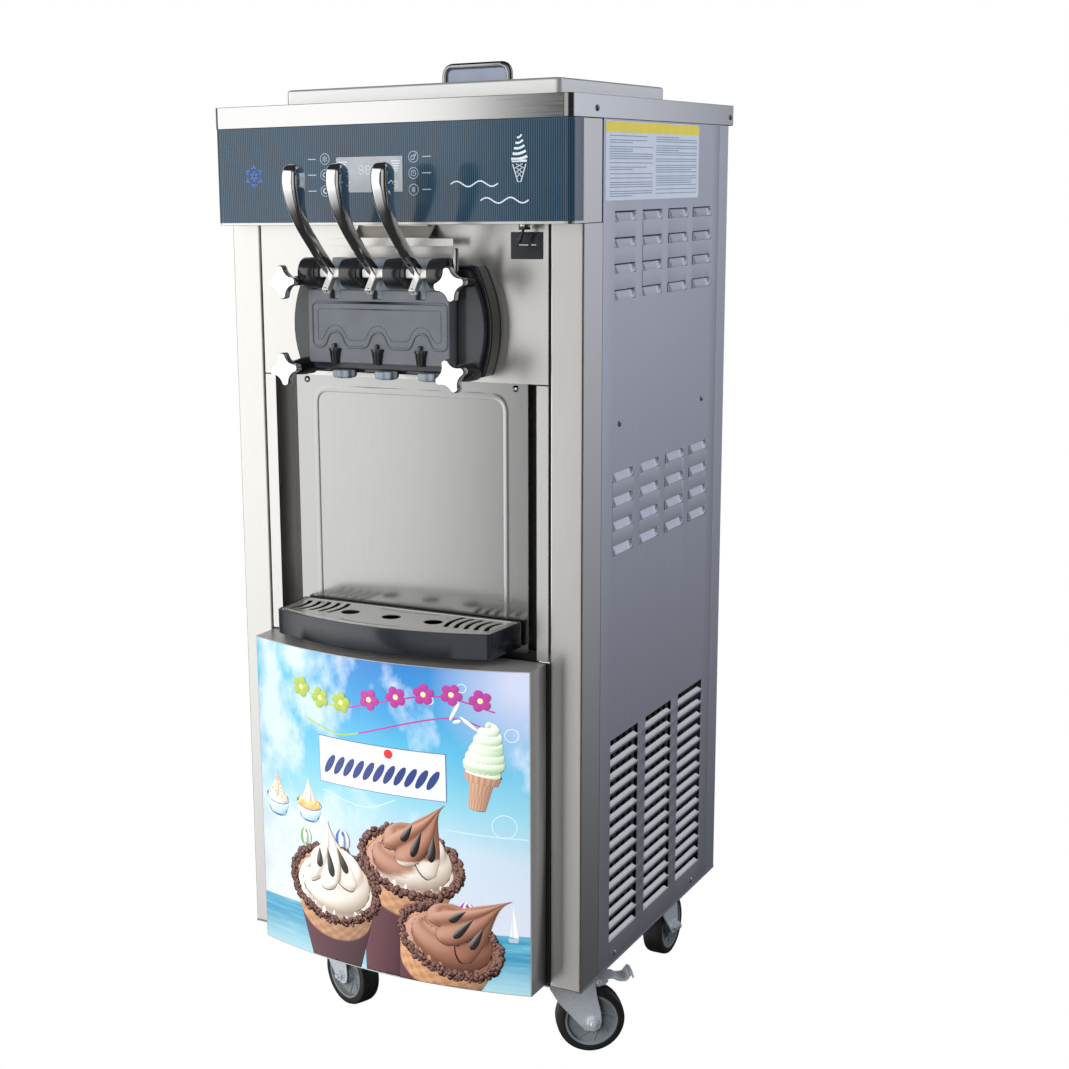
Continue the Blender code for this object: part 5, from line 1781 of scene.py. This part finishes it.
def lid():
    """Pressed lid with a rounded top edge and a bright handle."""
    x, y0, y1 = LID_HIGH.x, LID_LOW.y - FACE, LID_HIGH.y - FACE
    low, high = LID_LOW.z, LID_HIGH.z + 0.0025
    rings = []
    for inset, z in (
        (0, low), (0, high - 0.004), (0.0006, high - 0.0018), (0.0018, high - 0.0006), (0.004, high),
        (0.022, high), (0.025, high - 0.0015), (0.030, high - 0.0018),
    ):
        outline = round_rectangle((-x + inset, y0 + inset), (x - inset, y1 - inset), 0.008)
        rings.append([(a, b, z) for a, b in outline])
    bm = bmesh.new()
    bm.faces.new(add_loft(bm, rings, caps=False)[-1])
    thicken(finish_piece("lid_sheet", bm, "lid", "lid", ["hopper_lid"]), 0.0010)
    low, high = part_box("lid_handle")
    y = (low.y + high.y) / 2 - FACE
    half, top = high.x - 0.004, high.z - 0.0095
    path = ease_corners([(-half, y, low.z), (-half, y, top), (half, y, top), (half, y, low.z)], 0.014, 8)
    bm = bmesh.new()
    add_tube(bm, path, [(0.0045, 0.0050)] * len(path), 20, 2.6)
    foot = [(0.0095, 0.0), (0.0092, 0.0016), (0.0062, 0.0040), (0.0048, 0.0060)]
    for x in (-half, half):
        add_lathe(bm, foot, (x, y, low.z + 0.0001), steps=24)
    finish_piece("lid_handle_bar", bm, "handle", "lid", ["lid_handle"], sharp=40)
    bm = bmesh.new()
    half, top = half - 0.004, top - 0.004
    web = ease_outline([(-half, low.z), (-half, top), (half, top), (half, low.z)], 0.009, 6)
    add_plate(bm, web, front, y - 0.0010, y + 0.0010)
    finish_piece("lid_handle_web", bm, "web", "lid")


CASTERS = {
    "front_left": (-0.195, 0.112, -22.0, True),
    "front_right": (0.195, 0.112, 34.0, True),
    "rear_left": (-0.195, 0.458, 90.0, False),
    "rear_right": (0.195, 0.458, 90.0, False),
}
TRAIL = 0.037
WHEEL = 0.050


def casters():
    """Wheels, forks and pedals of the casters."""
    for name, (x, y, heading, braked) in CASTERS.items():
        turn = Matrix.Translation((x, y, 0)) @ Matrix.Rotation(math.radians(heading), 4, "Z")
        wheel(name, turn)
        fork(name, turn)
        if braked:
            pedal(name, turn)


def finish_turned(name, bm, look, body, turn, replaced=(), sharp=35):
    """Place a piece drawn beside a caster's swivel axis."""
    bmesh.ops.transform(bm, matrix=turn, verts=bm.verts)
    return finish_piece(name, bm, look, body, replaced, sharp)


def wheel(name, turn):
    """Rubber tyre, and a moulded hub with curved spokes."""
    half = 0.016
    body = f"wheel_{name}"
    bm = bmesh.new()
    shoulder = [(0.0385, -half + 0.002), (0.0400, -half), (0.0455, -half), (0.0482, -half + 0.0014)]
    shoulder += [(0.0496, -half + 0.0045)]
    add_wheel(bm, shoulder + [(WHEEL, -0.006), (WHEEL, 0.006)] + mirrored(shoulder), 64)
    finish_turned(f"tyre_{name}", bm, "tyre", body, turn, [f"caster_wheel_{name}"])
    bm = bmesh.new()
    profile = [(0.0060, -half), (0.0125, -half), (0.0140, -half + 0.0015), (0.0150, -0.0085)]
    profile += [(0.0345, -0.0085), (0.0355, -half + 0.0010), (0.0388, -half + 0.0006), (0.0390, -0.010)]
    add_wheel(bm, profile + mirrored(profile), 56)
    for side in (-1, 1):
        for start in circle(9):
            path = []
            for t in (step / 8 for step in range(9)):
                x, z = polar(start + side * 0.75 * math.sin(math.pi * t / 2), 0.0140 + 0.0212 * t)
                path.append((TRAIL + x, side * 0.0092, WHEEL + z))
            add_tube(bm, path, 0.0011, 8)
    finish_turned(f"hub_{name}", bm, "hub", body, turn, sharp=40)


def mirrored(profile):
    """A profile's other half."""
    return [(radius, -height) for radius, height in reversed(profile)]


def add_wheel(bm, profile, steps):
    """A closed profile of (radius, height along Y) turned round a wheel's axle."""
    rings = []
    for angle in circle(steps):
        rings.append([(TRAIL + r * math.cos(angle), h, WHEEL + r * math.sin(angle)) for r, h in profile])
    add_loft(bm, rings, caps=False, looped=True)


def fork(name, turn):
    """Pressed fork, its swivel race, the axle bolt with its nuts and the top plate's bolts."""
    outline = [(-0.026, 0.1175), (-0.0250, 0.104), (-0.012, 0.082), (0.0210, 0.044), (0.0270, 0.0375)]
    outline += [(0.0400, 0.0355), (0.0485, 0.0400), (0.0510, 0.0500), (0.0500, 0.0640), (0.0440, 0.0900)]
    outline += [(0.0400, 0.1175)]
    race = [(0.020, 0.1195), (0.0300, 0.1200), (0.0312, 0.1225), (0.0312, 0.1290), (0.0290, 0.1320)]
    race += [(0.0290, 0.1345), (0.0320, 0.1370), (0.0320, 0.1410), (0.0300, 0.1440), (0.0, 0.1442)]
    king_pin = [(0.0, 0.1090), (0.0075, 0.1090), (0.0075, 0.1200)]
    washer = [(0.0102, 0), (0.0102, 0.0010), (0, 0.0010)]
    axle_end = [(0.0042, 0), (0.0042, 0.0035), (0.0034, 0.0045), (0, 0.0045)]
    inner, outer = 0.0195, 0.0222
    body = f"fork_{name}"
    bm = bmesh.new()
    for side in (-1, 1):
        add_plate(bm, outline, front, *sorted((side * inner, side * outer)))
    add_plate(bm, round_rectangle((-0.0265, -outer), (0.0400, outer), 0.008), plan, 0.1165, 0.1200)
    made = finish_turned(f"fork_legs_{name}", bm, "zinc", body, turn, [f"caster_fork_{name}"], 30)
    soften(made, 0.0012, 3, 40)
    bm = bmesh.new()
    add_lathe(bm, race, (0, 0, 0), steps=40)
    add_lathe(bm, king_pin, (0, 0, 0), steps=20)
    for side in (-1, 1):
        add_plate(bm, hexagon(TRAIL, WHEEL, 0.0078, 0.3), front, *sorted((side * 0.0225, side * 0.0285)))
        add_lathe(bm, washer, (TRAIL, side * outer, WHEEL), (0, side, 0), 24)
        add_lathe(bm, axle_end, (TRAIL, side * 0.0280, WHEEL), (0, side, 0), 18)
    finish_turned(f"fork_fittings_{name}", bm, "zinc", body, turn, sharp=30)
    bm = bmesh.new()
    x, y, _ = turn.translation
    for dx in (-0.040, 0.040):
        for dy in (-0.030, 0.030):
            add_plate(bm, hexagon(x + dx, y + dy, 0.0066), plan, 0.1395, 0.1446)
    soften(finish_piece(f"caster_bolts_{name}", bm, "zinc", sharp=30), 0.0006, 2, 40)


def pedal(name, turn):
    """Pressed brake pedal: cheeks on the fork, a waved tread and a rolled end."""
    tread = [(0.0400, 0.1120), (0.0500, 0.1118), (0.0580, 0.1150), (0.0680, 0.1165), (0.0760, 0.1130)]
    tread += [(0.0850, 0.1125), (0.0900, 0.1160), (0.0935, 0.1210), (0.0970, 0.1205), (0.0975, 0.1165)]
    tread = smooth_stations(tread)
    cheek = [(0.0370, 0.1060), (0.0430, 0.1030), (0.0560, 0.1060)]
    cheek += [(0.0620, 0.1120), (0.0560, 0.1150), (0.0400, 0.1135)]
    pin = [(0.0042, 0), (0.0042, 0.0022), (0.0030, 0.0034), (0, 0.0034)]
    body = f"pedal_{name}"

    def place(u, i):
        x, z = tread[i]
        half = 0.0168 - 0.0030 * math.sin(math.pi * min(max((x - 0.045) / 0.045, 0), 1))
        return Vector((x, u * half, z - 0.0022 * u * u))

    bm = bmesh.new()
    sheet(bm, [-1.0, -0.7, 0.0, 0.7, 1.0], list(range(len(tread))), place)
    thicken(finish_turned(body, bm, "zinc", body, turn, [f"brake_pedal_{name}"], 50), 0.0024, 0.0)
    bm = bmesh.new()
    for side in (-1, 1):
        add_plate(bm, ease_outline(cheek, 0.002), front, side * 0.0170 - 0.0009, side * 0.0170 + 0.0009)
        add_lathe(bm, pin, (0.0480, side * 0.0178, 0.1090), (0, side, 0), 18)
    finish_turned(f"pedal_cheeks_{name}", bm, "zinc", body, turn, sharp=30)


def drain_stub():
    """Short ribbed drain spout under the cabinet, behind the door."""
    start = Vector((-0.055, 0.045, BODY_LOW - 0.003))
    end = Vector((-0.075, 0.012, 0.104))
    steps = range(37)
    sizes = [(0.0070 + 0.0009 * (k % 3 == 1),) * 2 for k in steps]
    bm = bmesh.new()
    add_tube(bm, [start.lerp(end, k / 36) for k in steps], sizes, 20)
    finish_piece("drain_spout", bm, "hose", sharp=60)


def inner_parts():
    """Materials of the CAD shapes that stay."""
    for side in ("left", "right"):
        keep(f"hopper_{side}", "inside")
        keep(f"freezing_cylinder_{side}", "aluminium")
        keep(f"beater_{side}", "white")
        keep(f"gear_motor_{side}", "enamel")
    keep("compressor", "enamel")
    # Near-black: partly the condenser's own black fins, partly painted shade for the dark seen through the
    # louvres
    keep("condenser", "dark")
    keep("condenser_fan", "black")
    keep("control_box", "box")
    crisp("cable_gland", "black", 0.0004)


studio()
cabinet_skins()
for side_name, side_sign in (("left", -1), ("right", 1)):
    side_sheet(side_name, side_sign)
info_label()
splash_sheet()
header_film()
header_print()
display()
switch()
head_plates()
head_front()
plungers_and_caps()
tap_levers()
star_knobs()
lever_rod()
drip_tray()
grid_plate()
door()
door_art()
lid()
casters()
drain_stub()
inner_parts()
